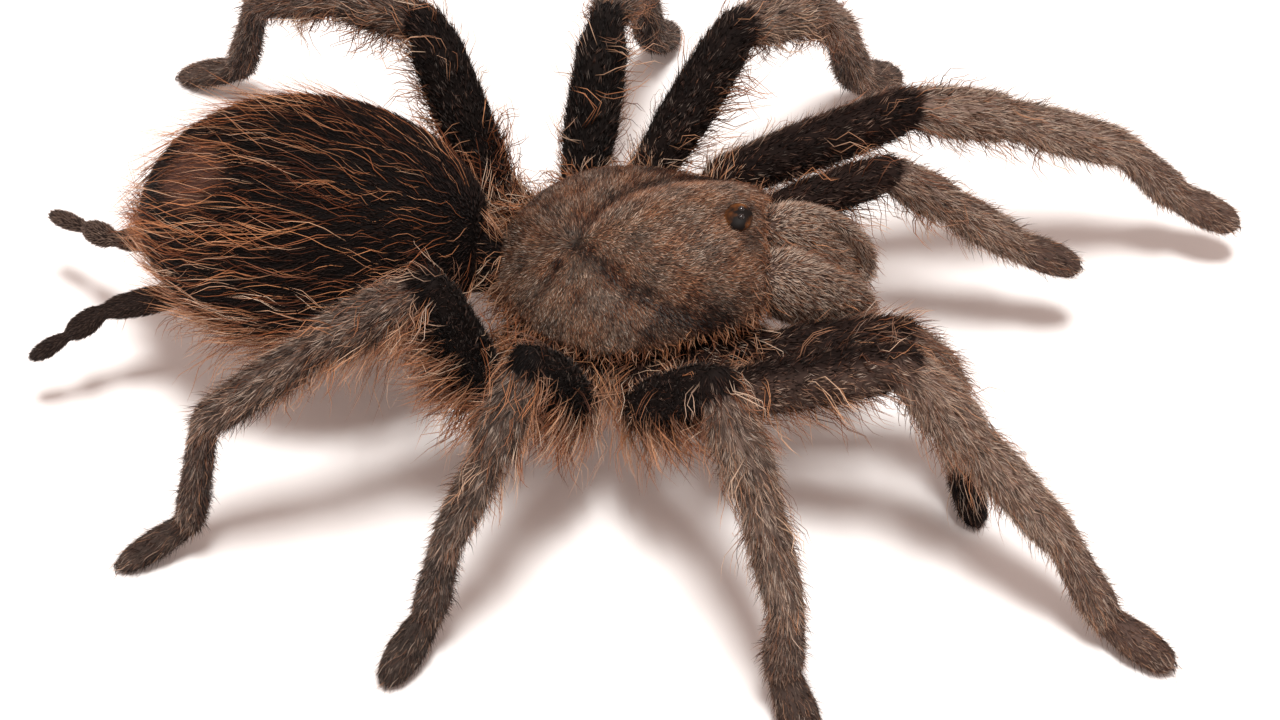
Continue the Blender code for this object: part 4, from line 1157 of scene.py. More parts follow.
class Skin:
    """One skin over limbs, coxae, breast, waist, hind body and spinnerets."""

    voxel = 0.27
    smoothing = 4
    limb_sides = 18
    hind_sides = 48
    floor_gap = 0.01
    waist_sections = ((0.0, 2.0), (0.5, 1.5), (1.0, 2.2))
    hip_bulges = (((-6.1, -3.7, -3.2), (2.1, 2.6, 2.1)), ((-6.1, 3.7, -3.2), (2.1, 2.6, 2.1)))
    lower_lip = ((6.2, 0.0, -5.0), (1.6, 1.3, 1.2))
    flesh_ends = ("femur", "patella", "tibia", "foot", "tarsus", "spinneret")
    flesh_names = ("abdomen", "pedicel", "coxae_and_sternum")

    def __init__(self, anatomy: Anatomy, markings: Markings) -> None:
        """Keep what the skin is laid over and how it is marked."""
        self.anatomy = anatomy
        self.markings = markings

    def build(self) -> bpy.types.Object:
        """Loft every stretch, melt them into one surface, and store its markings."""
        shape = bmesh.new()
        for limb in self.anatomy.limbs:
            loft(shape, limb.hoops(), self.limb_sides)
        for finger in self.anatomy.spinnerets:
            loft(shape, finger.hoops(SKIN_DEPTH * 0.6), self.limb_sides)
        loft(shape, self.anatomy.hind.hoops(SKIN_DEPTH), self.hind_sides)
        waist = self.anatomy.waist
        loft(shape, [Hoop(waist.a + (waist.b - waist.a) * t, waist.way(), waist.side, r, r)
                     for t, r in self.waist_sections], self.limb_sides)
        chest = (self.anatomy.chest_centre, self.anatomy.chest_radii)
        for centre, radii in (chest, *self.hip_bulges, self.lower_lip):
            place = PROSOMA.matrix(centre) @ Matrix.Diagonal([(r - SKIN_DEPTH) * MM for r in radii] + [1.0])
            bmesh.ops.create_uvsphere(shape, u_segments=36, v_segments=20, radius=1.0, matrix=place)
        piece = link_piece("skin", shape, VelvetSkinFinish().material())
        melt = piece.modifiers.new("melt", "REMESH")
        melt.mode = "VOXEL"
        melt.voxel_size = self.voxel * MM
        ease = piece.modifiers.new("ease", "SMOOTH")
        ease.factor = 0.5
        ease.iterations = self.smoothing
        bpy.context.view_layer.update()
        melted = bpy.data.meshes.new_from_object(piece.evaluated_get(bpy.context.evaluated_depsgraph_get()))
        piece.modifiers.clear()
        piece.data = melted
        melted.name = "skin"
        melted.shade_smooth()
        points = read_points(melted)
        points[:, 2] = np.maximum(points[:, 2], self.floor_gap)
        melted.vertices.foreach_set("co", (points * MM).ravel())
        melted.update()
        reading = self.anatomy.read(points)
        set_points(melted, "tone", "FLOAT", self.markings.tone(points, reading))
        set_points(melted, "warm", "FLOAT", self.markings.warmth(points, reading))
        set_points(melted, "straight", "FLOAT_VECTOR", reading.straight)
        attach(piece, "root")
        flesh = [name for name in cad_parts
                 if name.endswith(self.flesh_ends) or name in self.flesh_names]
        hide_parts(*flesh)
        report(piece)
        return piece


@dataclass
class Shield:
    """The carapace: a domed plate with a raised head, a pit behind it and furrows out to its margin."""

    length: float = 15.5
    half_width: float = 6.65
    rim: float = 0.5
    chest_height: float = 2.0
    head_height: float = 3.6
    pit: tuple[float, float] = (-3.2, 0.0)
    pit_depth: float = 0.3
    rows: int = 150
    columns: int = 120
    head_groove: tuple[tuple[float, float], ...] = ((-3.05, 0.35), (-1.8, 1.75), (-0.15, 3.32), (2.1, 4.6),
                                                    (4.3, 5.6))
    furrows: tuple[tuple[float, float], ...] = ((1.0, 6.1), (-3.0, 6.0), (-5.9, 3.9))
    dark_spot: tuple[float, float] = (-4.25, -1.49)

    cleft_depth: float = 0.2

    def half_at(self, x: np.ndarray) -> np.ndarray:
        """Half width at a place along it."""
        stations = (0.0, 0.05, 0.15, 0.3, 0.45, 0.6, 0.75, 0.88, 0.96, 1.0)
        shares = (0.30, 0.50, 0.76, 0.95, 1.0, 0.96, 0.86, 0.78, 0.71, 0.60)
        return self.half_width * through(stations, shares, np.asarray(x) / self.length + 0.5)

    def furrow(self, x: np.ndarray, y: np.ndarray) -> np.ndarray:
        """How deep in a furrow or in the groove round the head a place is, 0 to 1."""
        deep = np.zeros(np.shape(x))
        groove = np.array(self.head_groove)
        start = np.array((self.pit[0], 0.5))
        for a, b in zip(groove, groove[1:]):
            deep = np.maximum(deep, bell(self.beside(x, y, a, b, 0.0, 1.0)[1], 0.0, 0.6))
        for end in self.furrows:
            t, away = self.beside(x, y, start, np.array(end), 0.12, 0.95)
            deep = np.maximum(deep, 0.45 * bell(away, 0.0, 0.4) * bell(t, 0.45, 0.5))
        return deep

    @staticmethod
    def beside(x: np.ndarray, y: np.ndarray, a: np.ndarray, b: np.ndarray, low: float,
               high: float) -> tuple[np.ndarray, np.ndarray]:
        """Find the nearest place on a line that runs from a to b on either half of the shield.

        Args:
            x: Places along the shield.
            y: Places across it.
            a: The line's start.
            b: The line's end.
            low: Share along it where it begins to count.
            high: Share along it where it stops.

        Returns:
            The share along the line, and the distance from it.
        """
        span = b - a
        t = np.clip(((x - a[0]) * span[0] + (np.abs(y) - a[1]) * span[1]) / (span @ span), low, high)
        return t, np.hypot(x - a[0] - t * span[0], np.abs(y) - a[1] - t * span[1])

    def height_at(self, x: np.ndarray, y: np.ndarray) -> np.ndarray:
        """Height of the top over the margin's plane."""
        u = np.asarray(x) / self.length + 0.5
        across = np.minimum(1.0, np.abs(y) / self.half_at(x))
        chest = self.chest_height * through((0.0, 0.1, 0.3, 0.6, 1.0), (0.15, 0.6, 1.0, 1.0, 0.6), u)
        height = chest * (1 - across ** 2.4) ** 0.75
        profile = through((0.25, 0.4, 0.6, 0.8, 0.93, 1.0), (0.0, 0.16, 0.46, 0.62, 0.58, 0.30), u)
        head = self.head_height * profile
        head_half = through((0.25, 0.45, 0.7, 0.9, 1.0), (1.2, 3.0, 4.3, 4.7, 4.4), u)
        height = height + head * (1 - np.minimum(1.0, np.abs(y) / (1.1 * head_half)) ** 2.4) ** 1.4
        pit = np.hypot((x - self.pit[0]) / 0.5, y / 0.9)
        height = height - self.pit_depth * np.exp(-pit * pit)
        height = height - self.cleft_depth * self.furrow(x, y) * (1 - across ** 6)
        return np.maximum(height, 0.0)

    def tone_at(self, x: np.ndarray, y: np.ndarray) -> np.ndarray:
        """Tone of the cuticle and of its silk, with a painted highlight on the head's top, painted shade low
        on the head's flanks, and furrows and pit darker, partly in their own colour and partly with painted
        shade.
        """
        spot = np.exp(-((x - self.dark_spot[0]) ** 2 + (y - self.dark_spot[1]) ** 2) / 0.14)
        pit = np.exp(-((x - self.pit[0]) / 0.4) ** 2 - (y / 0.5) ** 2)
        blotch = np.exp(-((x - 1.25) / 0.9) ** 2 - ((np.abs(y) - 5.9) / 0.6) ** 2)
        # Painted shade low on each flank of the head.
        shaded_hollow = np.exp(-((x - 5.0) / 1.6) ** 2 - ((np.abs(y) - 5.2) / 1.0) ** 2)
        # Painted highlight: the top of the head made paler where the light falls on it.
        lit_crown = np.exp(-((x - 3.2) / 3.2) ** 2 - (y / 3.0) ** 2)
        cloud = 0.08 * np.sin(x * 1.9 + 0.7) * np.sin(y * 2.3 + 1.1) + 0.04 * np.sin(x * 4.7 - y * 3.1)
        cloud = cloud + 0.07 * np.sin(7.3 * x + 2.1 * y) * np.sin(6.1 * y - 3.7 * x + 1.0)
        # The furrows, the groove round the head and the pit are darker: partly the cuticle's own darker
        # lines, partly painted shade in these grooves.
        tone = 0.59 + 0.04 * lit_crown + cloud - 0.24 * self.furrow(x, y) - 0.45 * spot - 0.15 * pit
        return np.clip(tone - 0.26 * blotch - 0.42 * shaded_hollow, 0.03, 1.0)

    @staticmethod
    def settle_order(shape: bmesh.types.BMesh, first: int) -> None:
        """Order faces by their points, as an extrusion may list them differently in each run.

        Args:
            shape: The mesh.
            first: Number of the first face to reorder; those before it keep their order.
        """
        shape.verts.index_update()
        shape.faces.index_update()
        count = len(shape.verts)
        keys = {}
        for face in shape.faces:
            low, high = sorted(vertex.index for vertex in face.verts)[:2]
            keys[face] = face.index if face.index < first else first + low * count + high
        shape.faces.sort(key=keys.get)

    def build(self) -> bpy.types.Object:
        """Shape the plate from a grid, turn its rim down and close it beneath."""
        shape = bmesh.new()
        bmesh.ops.create_grid(shape, x_segments=self.rows, y_segments=self.columns, size=1.0)
        grid = list(shape.verts)
        flat = np.array([v.co for v in grid], float)
        u, v = flat[:, 0], np.sin(np.pi / 2 * flat[:, 1])
        x = self.length / 2 * (0.65 * u + 0.35 * np.sin(np.pi / 2 * u))
        y = v * self.half_at(x)
        z = self.height_at(x, y)
        places = PROSOMA.world(np.stack([x, y, z], 1)) * MM
        for vertex, place in zip(grid, places):
            vertex.co = place
        edge = [e for e in shape.edges if e.is_boundary]
        first_of_wall = len(shape.faces)
        rim = bmesh.ops.extrude_edge_only(shape, edges=edge)["geom"]
        for vertex in (v for v in rim if isinstance(v, bmesh.types.BMVert)):
            local = PROSOMA.local(np.array(vertex.co) / MM)
            local[2] = -self.rim
            vertex.co = PROSOMA.world(local) * MM
        self.settle_order(shape, first_of_wall)
        bmesh.ops.contextual_create(shape, geom=[e for e in shape.edges if e.is_boundary])
        piece = link_piece("shield", shape, ShieldFinish().material())
        local = PROSOMA.local(read_points(piece.data))
        set_points(piece.data, "tone", "FLOAT", self.tone_at(local[:, 0], local[:, 1]))
        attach(piece, "root")
        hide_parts("carapace")
        report(piece)
        return piece


@dataclass
class EyeMound:
    """The low mound on the head with its eight eyes."""

    x: float = 6.5
    radii: tuple[float, float, float] = (0.88, 0.98, 0.52)
    eye: float = 0.21
    places: tuple[tuple[float, float, float, bool], ...] = ((48, 26, 1.0, True), (46, 78, 0.6, False),
                                                            (128, 66, 0.5, False), (156, 68, 0.55, False))
    sunk: float = 0.86

    def centre(self, shield: Shield) -> np.ndarray:
        """Its middle, in the shield's frame."""
        return np.array((self.x, 0.0, float(shield.height_at(np.array(self.x), np.array(0.0))) + 0.05))

    def build(self, shield: Shield) -> list[bpy.types.Object]:
        """Make the mound, its two round dark eyes and its six pale ones."""
        centre = self.centre(shield)
        shape = bmesh.new()
        place = PROSOMA.matrix(centre) @ Matrix.Diagonal([r * MM for r in self.radii] + [1.0])
        bmesh.ops.create_uvsphere(shape, u_segments=40, v_segments=24, radius=1.0, matrix=place)
        pieces = [link_piece("eye_mound", shape, MoundFinish().material())]
        dark_lens = EyeFinish("dark_lens", ((0.3, "050304"), (0.75, "1a0e0a")))
        pale_lens = EyeFinish("pale_lens", ((0.3, "140b06"), (0.75, "5a3a1c")))
        for name, dark, finish in (("dark_eyes", True, dark_lens), ("pale_eyes", False, pale_lens)):
            shape = bmesh.new()
            for yaw, slant, size, _ in (place for place in self.places if place[3] == dark):
                for sign in (1, -1):
                    b, a = math.radians(yaw) * sign, math.radians(slant)
                    out = np.array((math.sin(a) * math.cos(b), math.sin(a) * math.sin(b), math.cos(a)))
                    spot = PROSOMA.world(centre + out * self.sunk * np.array(self.radii))
                    r = self.eye * size * MM
                    lens = Matrix.Translation(Vector(spot) * MM) @ Matrix.Diagonal((r, r, r, 1.0))
                    bmesh.ops.create_uvsphere(shape, u_segments=24, v_segments=16, radius=1.0, matrix=lens)
            pieces.append(link_piece(name, shape, finish.material()))
        for piece in pieces:
            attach(piece, "root")
            report(piece)
        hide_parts("eyes")
        return pieces


@dataclass
class Chelicera:
    """One stout jaw base with its fang folded under it."""

    sign: float
    x: tuple[float, ...] = (7.95, 9.5, 11.15, 12.4, 13.05)
    z: tuple[float, ...] = (-0.9, -1.1, -2.1, -3.6, -5.0)
    away: tuple[float, ...] = (1.78, 1.86, 1.84, 1.72, 1.58)
    half_width: tuple[float, ...] = (1.45, 1.68, 1.68, 1.5, 0.95)
    half_height: tuple[float, ...] = (2.3, 2.75, 2.65, 2.2, 1.2)
    fang_root: tuple[float, float, float] = (12.2, 1.55, -6.75)
    fang_length: float = 4.2
    fang_radius: float = 0.55
    fang_bend: float = 100.0
    fang_socket: tuple[tuple[float, ...], ...] = ((0.55, 1.9, 0.1, 0.5), (0.5, 0.9, 0.2, 0.62),
                                                  (0.3, 0.3, 0.8, 0.6))
    depth: float = 0.15

    @property
    def name(self) -> str:
        """The side that it is on."""
        return "left" if self.sign > 0 else "right"

    def at(self, sizes: Sequence[float], t: np.ndarray) -> np.ndarray:
        """One of its rows of sizes, t from 0 at the shield to 4 at the fang."""
        return through(range(len(self.x)), sizes, t)

    def middle(self, t: np.ndarray) -> np.ndarray:
        """Its middle line in the shield's frame."""
        return np.stack([self.at(self.x, t), self.sign * self.at(self.away, t), self.at(self.z, t)], -1)

    def ahead(self, t: float) -> np.ndarray:
        """The middle line's direction."""
        return unit(self.middle(np.array(min(t + 0.1, 4.0))) - self.middle(np.array(max(t - 0.1, 0.0))))

    def flatten_inside(self, shape: bmesh.types.BMesh) -> None:
        """Square up the side towards the other jaw, so that the two meet in a slit."""
        for vertex in shape.verts:
            local = PROSOMA.local(np.array(vertex.co) / MM)
            t = float(np.interp(local[0], self.x, range(len(self.x))))
            middle, half = self.at(self.away, t), self.at(self.half_width, t) - self.depth
            across = float(np.clip((middle - self.sign * local[1]) / half, 0.0, 1.0))
            high = (local[2] - float(self.at(self.z, t))) / float(self.at(self.half_height, t))
            full = math.sqrt(max(0.0, 1 - min(1.0, abs(high)) ** 4)) * half
            reach = across * half / max(math.sqrt(max(0.0, 1 - high * high)), 0.15)
            local[1] = self.sign * (middle - min(full, reach)) if across > 0 else local[1]
            vertex.co = PROSOMA.world(local) * MM

    def build(self) -> bpy.types.Object:
        """Loft the jaw base."""
        hoops = []
        right = PROSOMA.turned((0.0, -1.0, 0.0))
        for t in np.linspace(0.0, 4.0, 22):
            way = self.ahead(float(t)) * (1.0, 0.0, 1.0)
            way = np.array((1.0, 0.0, 0.0)) if t == 0 else unit(way)
            hoops.append(Hoop(PROSOMA.world(self.middle(t)), PROSOMA.turned(way), right,
                              float(self.at(self.half_width, t)) - self.depth,
                              float(self.at(self.half_height, t)) - self.depth))
        tip = np.array((self.x[-1] + 0.1, self.sign * self.away[-1], self.z[-1] - 0.35))
        way = PROSOMA.turned(unit(np.array((0.6, 0.0, -0.8))))
        hoops.append(Hoop(PROSOMA.world(tip), way, right, 0.35, 0.4))
        shape = bmesh.new()
        loft(shape, hoops, 36)
        self.flatten_inside(shape)
        piece = link_piece(f"{self.name}_jaw", shape, VelvetSkinFinish(f"{self.name}_jaw_skin").material())
        local = PROSOMA.local(read_points(piece.data))
        set_points(piece.data, "tone", "FLOAT", np.full(len(local), 0.6))
        set_points(piece.data, "warm", "FLOAT", np.full(len(local), 0.2))
        set_points(piece.data, "straight", "FLOAT_VECTOR", local)
        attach(piece, "root")
        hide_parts(f"{self.name}_chelicera")
        report(piece)
        return piece

    def build_fang(self) -> bpy.types.Object:
        """Loft the curved, pointed fang."""
        root = np.array(self.fang_root) * (1.0, self.sign, 1.0)
        right = PROSOMA.turned((0.0, -1.0, 0.0))
        hoops = []
        for forward, up, slant, r in self.fang_socket:
            way = PROSOMA.turned(unit(np.array((-slant, 0.0, -1.0))))
            hoops.append(Hoop(PROSOMA.world(root + (forward, 0.0, up)), way, right, r, r))
        for t in np.linspace(0.0, 1.0, 18):
            bend = math.radians(self.fang_bend * t)
            curve = np.array((-math.sin(bend) * 0.62, 0.0, math.cos(bend) * 0.25 - 0.25))
            spot = root + curve * self.fang_length * 0.9
            way = unit(np.array((-math.cos(bend), -0.1 * self.sign, -math.sin(bend) * 0.42)))
            r = self.fang_radius * (1 - t) ** 0.6 + 0.04
            hoops.append(Hoop(PROSOMA.world(spot), PROSOMA.turned(way), right, r, r))
        shape = bmesh.new()
        loft(shape, hoops, 20)
        piece = link_piece(f"{self.name}_fang_horn", shape, HornFinish(f"{self.name}_fang_gloss").material())
        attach(piece, "root")
        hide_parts(f"{self.name}_fang")
        report(piece)
        return piece


@dataclass
class Claws:
    """Two small hooked claws at the end of each foot, one on each palp, half hidden in the pads."""

    length: float = 0.55
    radius: float = 0.08
    spread: float = 0.22

    def build(self, anatomy: Anatomy) -> bpy.types.Object:
        """Loft every claw as a curved horn."""
        shape = bmesh.new()
        for limb in anatomy.limbs:
            tip, way, side = limb.joints[-1], unit(limb.joints[-1] - limb.joints[-2]), limb.side
            up = np.cross(side, way)
            for offset in ((-self.spread, self.spread) if "leg" in limb.name else (0.0,)):
                hoops = []
                for t in np.linspace(0.0, 1.0, 7):
                    spot = tip - way * 0.35 + side * offset + up * 0.12
                    spot = spot + way * (self.length * t) + up * (0.22 * math.sin(math.pi * t) - 0.25 * t)
                    spot[2] = max(spot[2], self.radius + 0.02)
                    r = self.radius * (1 - t) ** 0.7 + 0.012
                    hoops.append(Hoop(spot, unit(way - up * 0.5 * t), side, r, r))
                loft(shape, hoops, 8)
        piece = link_piece("claws", shape, HornFinish("claw_horn").material())
        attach(piece, "root")
        report(piece)
        return piece


# Kinds of hair on the legs and palps
UNDERCOAT = Strand((0.45, 0.80), 0.066, (10, 28), stray=13, flat=0.5, bundle=3, apart=0.15, gather=0.4)
TAN_HAIR = Strand((0.8, 1.35), 0.046, (16, 38), stray=16)
FUZZ = Strand((0.7, 1.15), 0.042, (36, 66), stray=14)
BRISTLE = Strand((1.1, 1.8), 0.056, (34, 62), fall=12, wave=8, stray=14, rings=2)
BEARD = Strand((2.6, 4.4), 0.056, (24, 58), fall=20, sag=0.6, wave=36, stray=22, rings=4, bundle=3,
               apart=0.35, gather=0.25)
FRINGE = Strand((1.1, 1.9), 0.046, (34, 62), fall=14, sag=0.2, wave=14, stray=16, rings=2)
TUFT = Strand((2.0, 3.6), 0.052, (24, 56), fall=22, sag=0.3, wave=40, stray=24, rings=4, bundle=3,
              apart=0.35, gather=0.2)
COLLAR = Strand((0.8, 1.4), 0.05, (20, 44), stray=18)
PAD = Strand((0.4, 0.6), 0.075, (45, 70), stray=18)
RUNNER = Strand((1.6, 3.2), 0.048, (4, 15), fall=4, wave=16, stray=9, rings=4)
FLUFF = Strand((1.3, 2.1), 0.05, (28, 60), fall=14, wave=16, stray=18, rings=3)
CURL = Strand((2.8, 4.4), 0.055, (8, 22), fall=12, sag=0.1, wave=12, stray=10, rings=6)


@dataclass(frozen=True)
class Growth:
    """One kind of hair on a limb: how densely it grows at each triangle, and its tone and warmth.

    The tone is the coat's own plus a shift, or a value of its own where the coat's isn't kept. Hair that
    droops is drawn down from the lie of the coat.
    """

    strand: Strand
    density: np.ndarray
    tone: float
    tone_spread: float
    warm: float
    warm_spread: float
    keeps_tone: bool = True
    droops: float = 0.0


class SkinCoat:
    """What the coats that grow on the skin share: its surface, and what the anatomy says of it."""

    def __init__(self, anatomy: Anatomy, markings: Markings, surface: Surface) -> None:
        """Keep what the coat grows on, and read the skin once."""
        self.anatomy = anatomy
        self.markings = markings
        self.surface = surface
        self.reading = anatomy.read(surface.centres)

    def unwrap(self, along: np.ndarray, angle: np.ndarray) -> np.ndarray:
        """Places on the unrolled skin, 0 to 1 both ways, from a share along it and an angle round it."""
        return np.stack([along, (angle + 180) / 360], 1) * 0.96 + 0.02


class LimbCoats(SkinCoat):
    """The coats of legs and palps, one piece for each limb. Densities are in hairs on a square mm."""

    first_seed = 100
    undercoat = 14.0
    runner = 1.3
    tan_hair = 8.0
    thatch = 2.4
    fuzz = 6.0
    bristles = 1.6
    beard = 2.4
    fringe = 4.0
    tuft = 2.2
    fluff = 9.0
    collar = 9.0
    pad = 22.0
    curl = 2.6
    scales = {Part.COXA: 1.1, Part.FEMUR: 1.0, Part.PATELLA: 1.0, Part.TIBIA: 1.0, Part.METATARSUS: 0.82,
              Part.TARSUS: 0.62}

    def growths(self, limb: Limb) -> list[Growth]:
        """All kinds of hair on a limb.

        Args:
            limb: The leg or palp.

        Returns:
            Its growths, the undercoat first.
        """
        here, share = self.reading, self.reading.share
        coxa, femur, patella, tibia, metatarsus, tarsus = (
            is_part(here, part) for part in (Part.COXA, *LEG_PARTS))
        beneath = ramp_between(20.0, -50.0, here.angle)
        sideways = np.abs(np.cos(np.radians(here.angle)))
        foot = tarsus + metatarsus * ramp_between(0.3, 0.8, share)
        shank = patella | tibia | metatarsus | tarsus
        root_part = coxa + femur * (1 - ramp_between(0.55, 0.95, share))
        sole = ramp_between(-20.0, -60.0, here.angle) * foot
        joint = bell(share, 1.0, 0.09) * (patella | tibia | metatarsus)
        hip = coxa + femur * (1 - ramp_between(0.06, 0.2, share))
        knee = patella + femur * ramp_between(0.7, 1.0, share) + tibia * (1 - ramp_between(0.2, 0.7, share))
        beard = self.beard * limb.plan.beard
        tan_warmth = 0.14 if limb.name[-1] in "34" else 0.34
        growths = [
            Growth(UNDERCOAT, self.undercoat * (1 - 0.6 * sole) * (1 - 0.35 * femur), -0.05, 0.20, 0.0,
                   0.12),
            Growth(TAN_HAIR, self.tan_hair * (0.35 + sideways) * (shank + 0.2 * femur), 0.12, 0.16,
                   tan_warmth, 0.2),
            Growth(FUZZ, self.fuzz * (0.2 + sideways) * (shank + 0.7 * femur), 0.0, 0.16, 0.35, 0.25),
            Growth(BRISTLE, self.bristles * (0.3 + sideways) * shank, -0.30, 0.12, 0.2, 0.2),
            Growth(BEARD, beard * (root_part * (0.05 + beneath) + 0.7 * coxa), 0.70, 0.18, 0.70, 0.16, False,
                   0.9),
            Growth(FRINGE, self.fringe * (femur + 0.5 * shank) * beneath * (1 - foot), 0.52, 0.18, 0.6, 0.2,
                   False, 0.5),
            Growth(TUFT, self.tuft * knee * (0.12 + beneath) * limb.plan.beard, 0.70, 0.17, 0.66, 0.16,
                   False, 0.6),
            Growth(COLLAR, self.collar * (joint * 0.9 + hip), 0.74, 0.14, 0.45, 0.2, False),
            Growth(RUNNER, self.runner * (shank * 0.4 + foot) * (1 - sole), 0.80, 0.14, 0.5, 0.2, False),
            Growth(PAD, self.pad * sole, -0.10, 0.08, 0.2, 0.1),
        ]
        if limb.name.endswith("leg4"):
            reach = 0.25 if limb.name.startswith("right") else 0.5
            base = coxa + femur * (1 - ramp_between(reach * 0.4, reach, share))
            growths.append(Growth(TUFT, self.thatch * base, 0.52, 0.2, 0.85, 0.12, False))
        if limb.name == "right_palp":
            bend = patella + femur * ramp_between(0.5, 0.8, share)
            growths.append(Growth(FLUFF, self.fluff * bend, 0.58, 0.15, 0.5, 0.2, False))
            end = tibia * ramp_between(0.7, 0.95, share) + tarsus * (1 - ramp_between(0.3, 0.6, share))
            growths.append(Growth(CURL, self.curl * end, 0.97, 0.04, 0.25, 0.1, False))
        return growths

    def build(self, limb: Limb, seed: int, material: bpy.types.Material) -> bpy.types.Object:
        """Grow all kinds of hair on one limb.

        Args:
            limb: The leg or palp.
            seed: Its seed.
            material: The hairs' finish.

        Returns:
            The coat.
        """
        rng = np.random.default_rng(seed)
        coat = Coat(f"{limb.name}_coat", rng)
        limb_of = np.array([bone.limb for bone in self.anatomy.bones])[self.reading.bone]
        mine = (limb_of == limb.name) & ~is_part(self.reading, Part.CHEST, Part.HIND)
        total = limb.bones()[-1].before + limb.plan.lengths[-1]
        for growth in self.growths(limb):
            roots = self.surface.plant(growth.density * mine, rng)
            there = self.anatomy.read(roots.spots)
            tone, warm = growth.tone, growth.warm
            if growth.keeps_tone:
                tone = tone + self.markings.tone(roots.spots, there)
            if growth.strand is UNDERCOAT:
                warm = self.markings.warmth(roots.spots, there)
            tone = spread_about(rng, tone, growth.tone_spread, len(roots), LEAST_TONE)
            warm = spread_about(rng, warm, growth.warm_spread, len(roots))
            size = np.ones(len(roots))
            for part, scale in self.scales.items():
                size[is_part(there, part)] = scale
            coat.grow(roots, unit(there.lie - UP * growth.droops), growth.strand, tone, warm,
                      self.unwrap(there.along / total, there.angle), size)
        return coat.finish(material, "leg_coat")


class HindCoat(SkinCoat):
    """The hind body's coat: black velvet under long, wavy, rusty hair that is swept back."""

    velvet_seed, long_seed, finger_seed = 21, 22, 23
    velvet_density = 28.0
    finger_density = 85.0
    waist_density = 20.0
    belly_droop = 0.8
    velvet = Strand((0.5, 0.8), 0.09, (12, 26), stray=14, flat=0.5)
    long_hair = Strand((2.4, 5.4), 0.046, (3, 12), fall=3, wave=22, stray=9, rings=5, bundle=2, apart=0.25,
                       gather=0.35)
    low_hair = Strand((2.2, 4.2), 0.048, (8, 28), fall=8, sag=0.12, wave=26, stray=24, rings=4, bundle=3,
                      apart=0.35, gather=0.3)
    belly_hair = Strand((3.4, 6.0), 0.05, (30, 70), fall=14, sag=0.5, wave=26, stray=28, rings=4, bundle=3,
                        apart=0.4, gather=0.25)
    standing = Strand((2.8, 4.8), 0.038, (22, 50), fall=8, wave=8, stray=12, rings=3)
    front_hair = Strand((1.6, 3.0), 0.05, (6, 22), fall=8, wave=22, stray=14, rings=4)
    rump_hair = Strand((2.2, 3.8), 0.05, (12, 40), fall=12, wave=14, stray=18, rings=4)
    finger_hair = Strand((0.24, 0.42), 0.065, (14, 32), stray=14)

    def lie(self, spots: np.ndarray) -> np.ndarray:
        """To the rear, and a little down on the flanks."""
        local = HIND_BODY.local(spots)
        way = np.stack([np.full(len(spots), -1.0), np.zeros(len(spots)),
                        -0.12 * ramp_between(2.0, -4.0, local[:, 2])], 1)
        return HIND_BODY.turned(way)

    def build(self, material: bpy.types.Material) -> None:
        """Grow the velvet, the long hair and the spinnerets' short hair."""
        on_hind = is_part(self.reading, Part.HIND, Part.WAIST)
        bare = self.anatomy.hind.rubbed(self.surface.centres)
        self.grow_velvet(material, on_hind * (1 - 0.6 * bare))
        self.grow_long_hair(material, on_hind, bare)
        self.grow_finger_hair(material)

    def grow_velvet(self, material: bpy.types.Material, seen: np.ndarray) -> None:
        """Grow the velvet where it is seen."""
        rng = np.random.default_rng(self.velvet_seed)
        coat = Coat("hind_velvet", rng)
        roots = self.surface.plant(self.velvet_density * seen, rng)
        there = self.anatomy.read(roots.spots)
        tone = self.markings.tone(roots.spots, there) + rng.uniform(-0.02, 0.10, len(roots))
        warm = self.markings.warmth(roots.spots, there) + rng.uniform(-0.1, 0.3, len(roots))
        coat.grow(roots, self.lie(roots.spots), self.velvet, np.clip(tone, 0, 1), np.clip(warm, 0, 1),
                  self.unwrap(there.share * 0.5 + 0.5, there.angle))
        coat.finish(material, "abdomen_coat")

    def grow_long_hair(self, material: bpy.types.Material, on_hind: np.ndarray, bare: np.ndarray) -> None:
        """Grow the kinds of long hair, each on its own stretch, thinner on the rubbed patch."""
        rng = np.random.default_rng(self.long_seed)
        coat = Coat("hind_long_hair", rng)
        x, _, z = HIND_BODY.local(self.surface.centres).T
        low = ramp_between(2.5, -3.0, z)
        ahead = ramp_between(2.0, 6.5, x)
        edge = ramp_between(2.0, 6.0, z) * ramp_between(5.0, -3.0, x) + 0.5 * ramp_between(-7.0, -10.0, x)
        beneath = ramp_between(-1.5, -4.5, z) * ramp_between(9.0, 7.0, x)
        rump = ramp_between(-7.5, -10.0, x) * ramp_between(2.0, -2.0, z)
        at_waist = is_part(self.reading, Part.WAIST) * self.waist_density
        pole = ramp_between(10.0, 8.5, x)
        for strand, density, tones, warmth in (
                (self.long_hair, 1.25 * (1 - 0.5 * low) * (1 - 0.85 * ahead), (0.10, 0.86), 0.95),
                (self.low_hair, 3.0 * low, (0.45, 1.0), 0.70),
                (self.belly_hair, 1.5 * beneath, (0.50, 0.92), 0.65),
                # Standing hairs on the top and rear outline are pale: partly their own colour, partly
                # painted light shining through them.
                (self.standing, 1.2 * edge, (0.66, 0.95), 0.9),
                (self.front_hair, 1.7 * ahead * pole, (0.25, 0.82), 0.80),
                (self.rump_hair, 2.6 * rump + at_waist, (0.50, 0.86), 0.9)):
            roots = self.surface.plant(density * on_hind * (1 - 0.7 * bare), rng)
            there = self.anatomy.read(roots.spots)
            tone = rng.uniform(*tones, len(roots))
            warm = spread_about(rng, warmth, 0.12, len(roots))
            way = self.lie(roots.spots) - UP * (self.belly_droop if strand is self.belly_hair else 0.0)
            coat.grow(roots, unit(way), strand, tone, warm,
                      self.unwrap(there.share * 0.5 + 0.5, there.angle))
        coat.finish(material, "abdomen_coat")

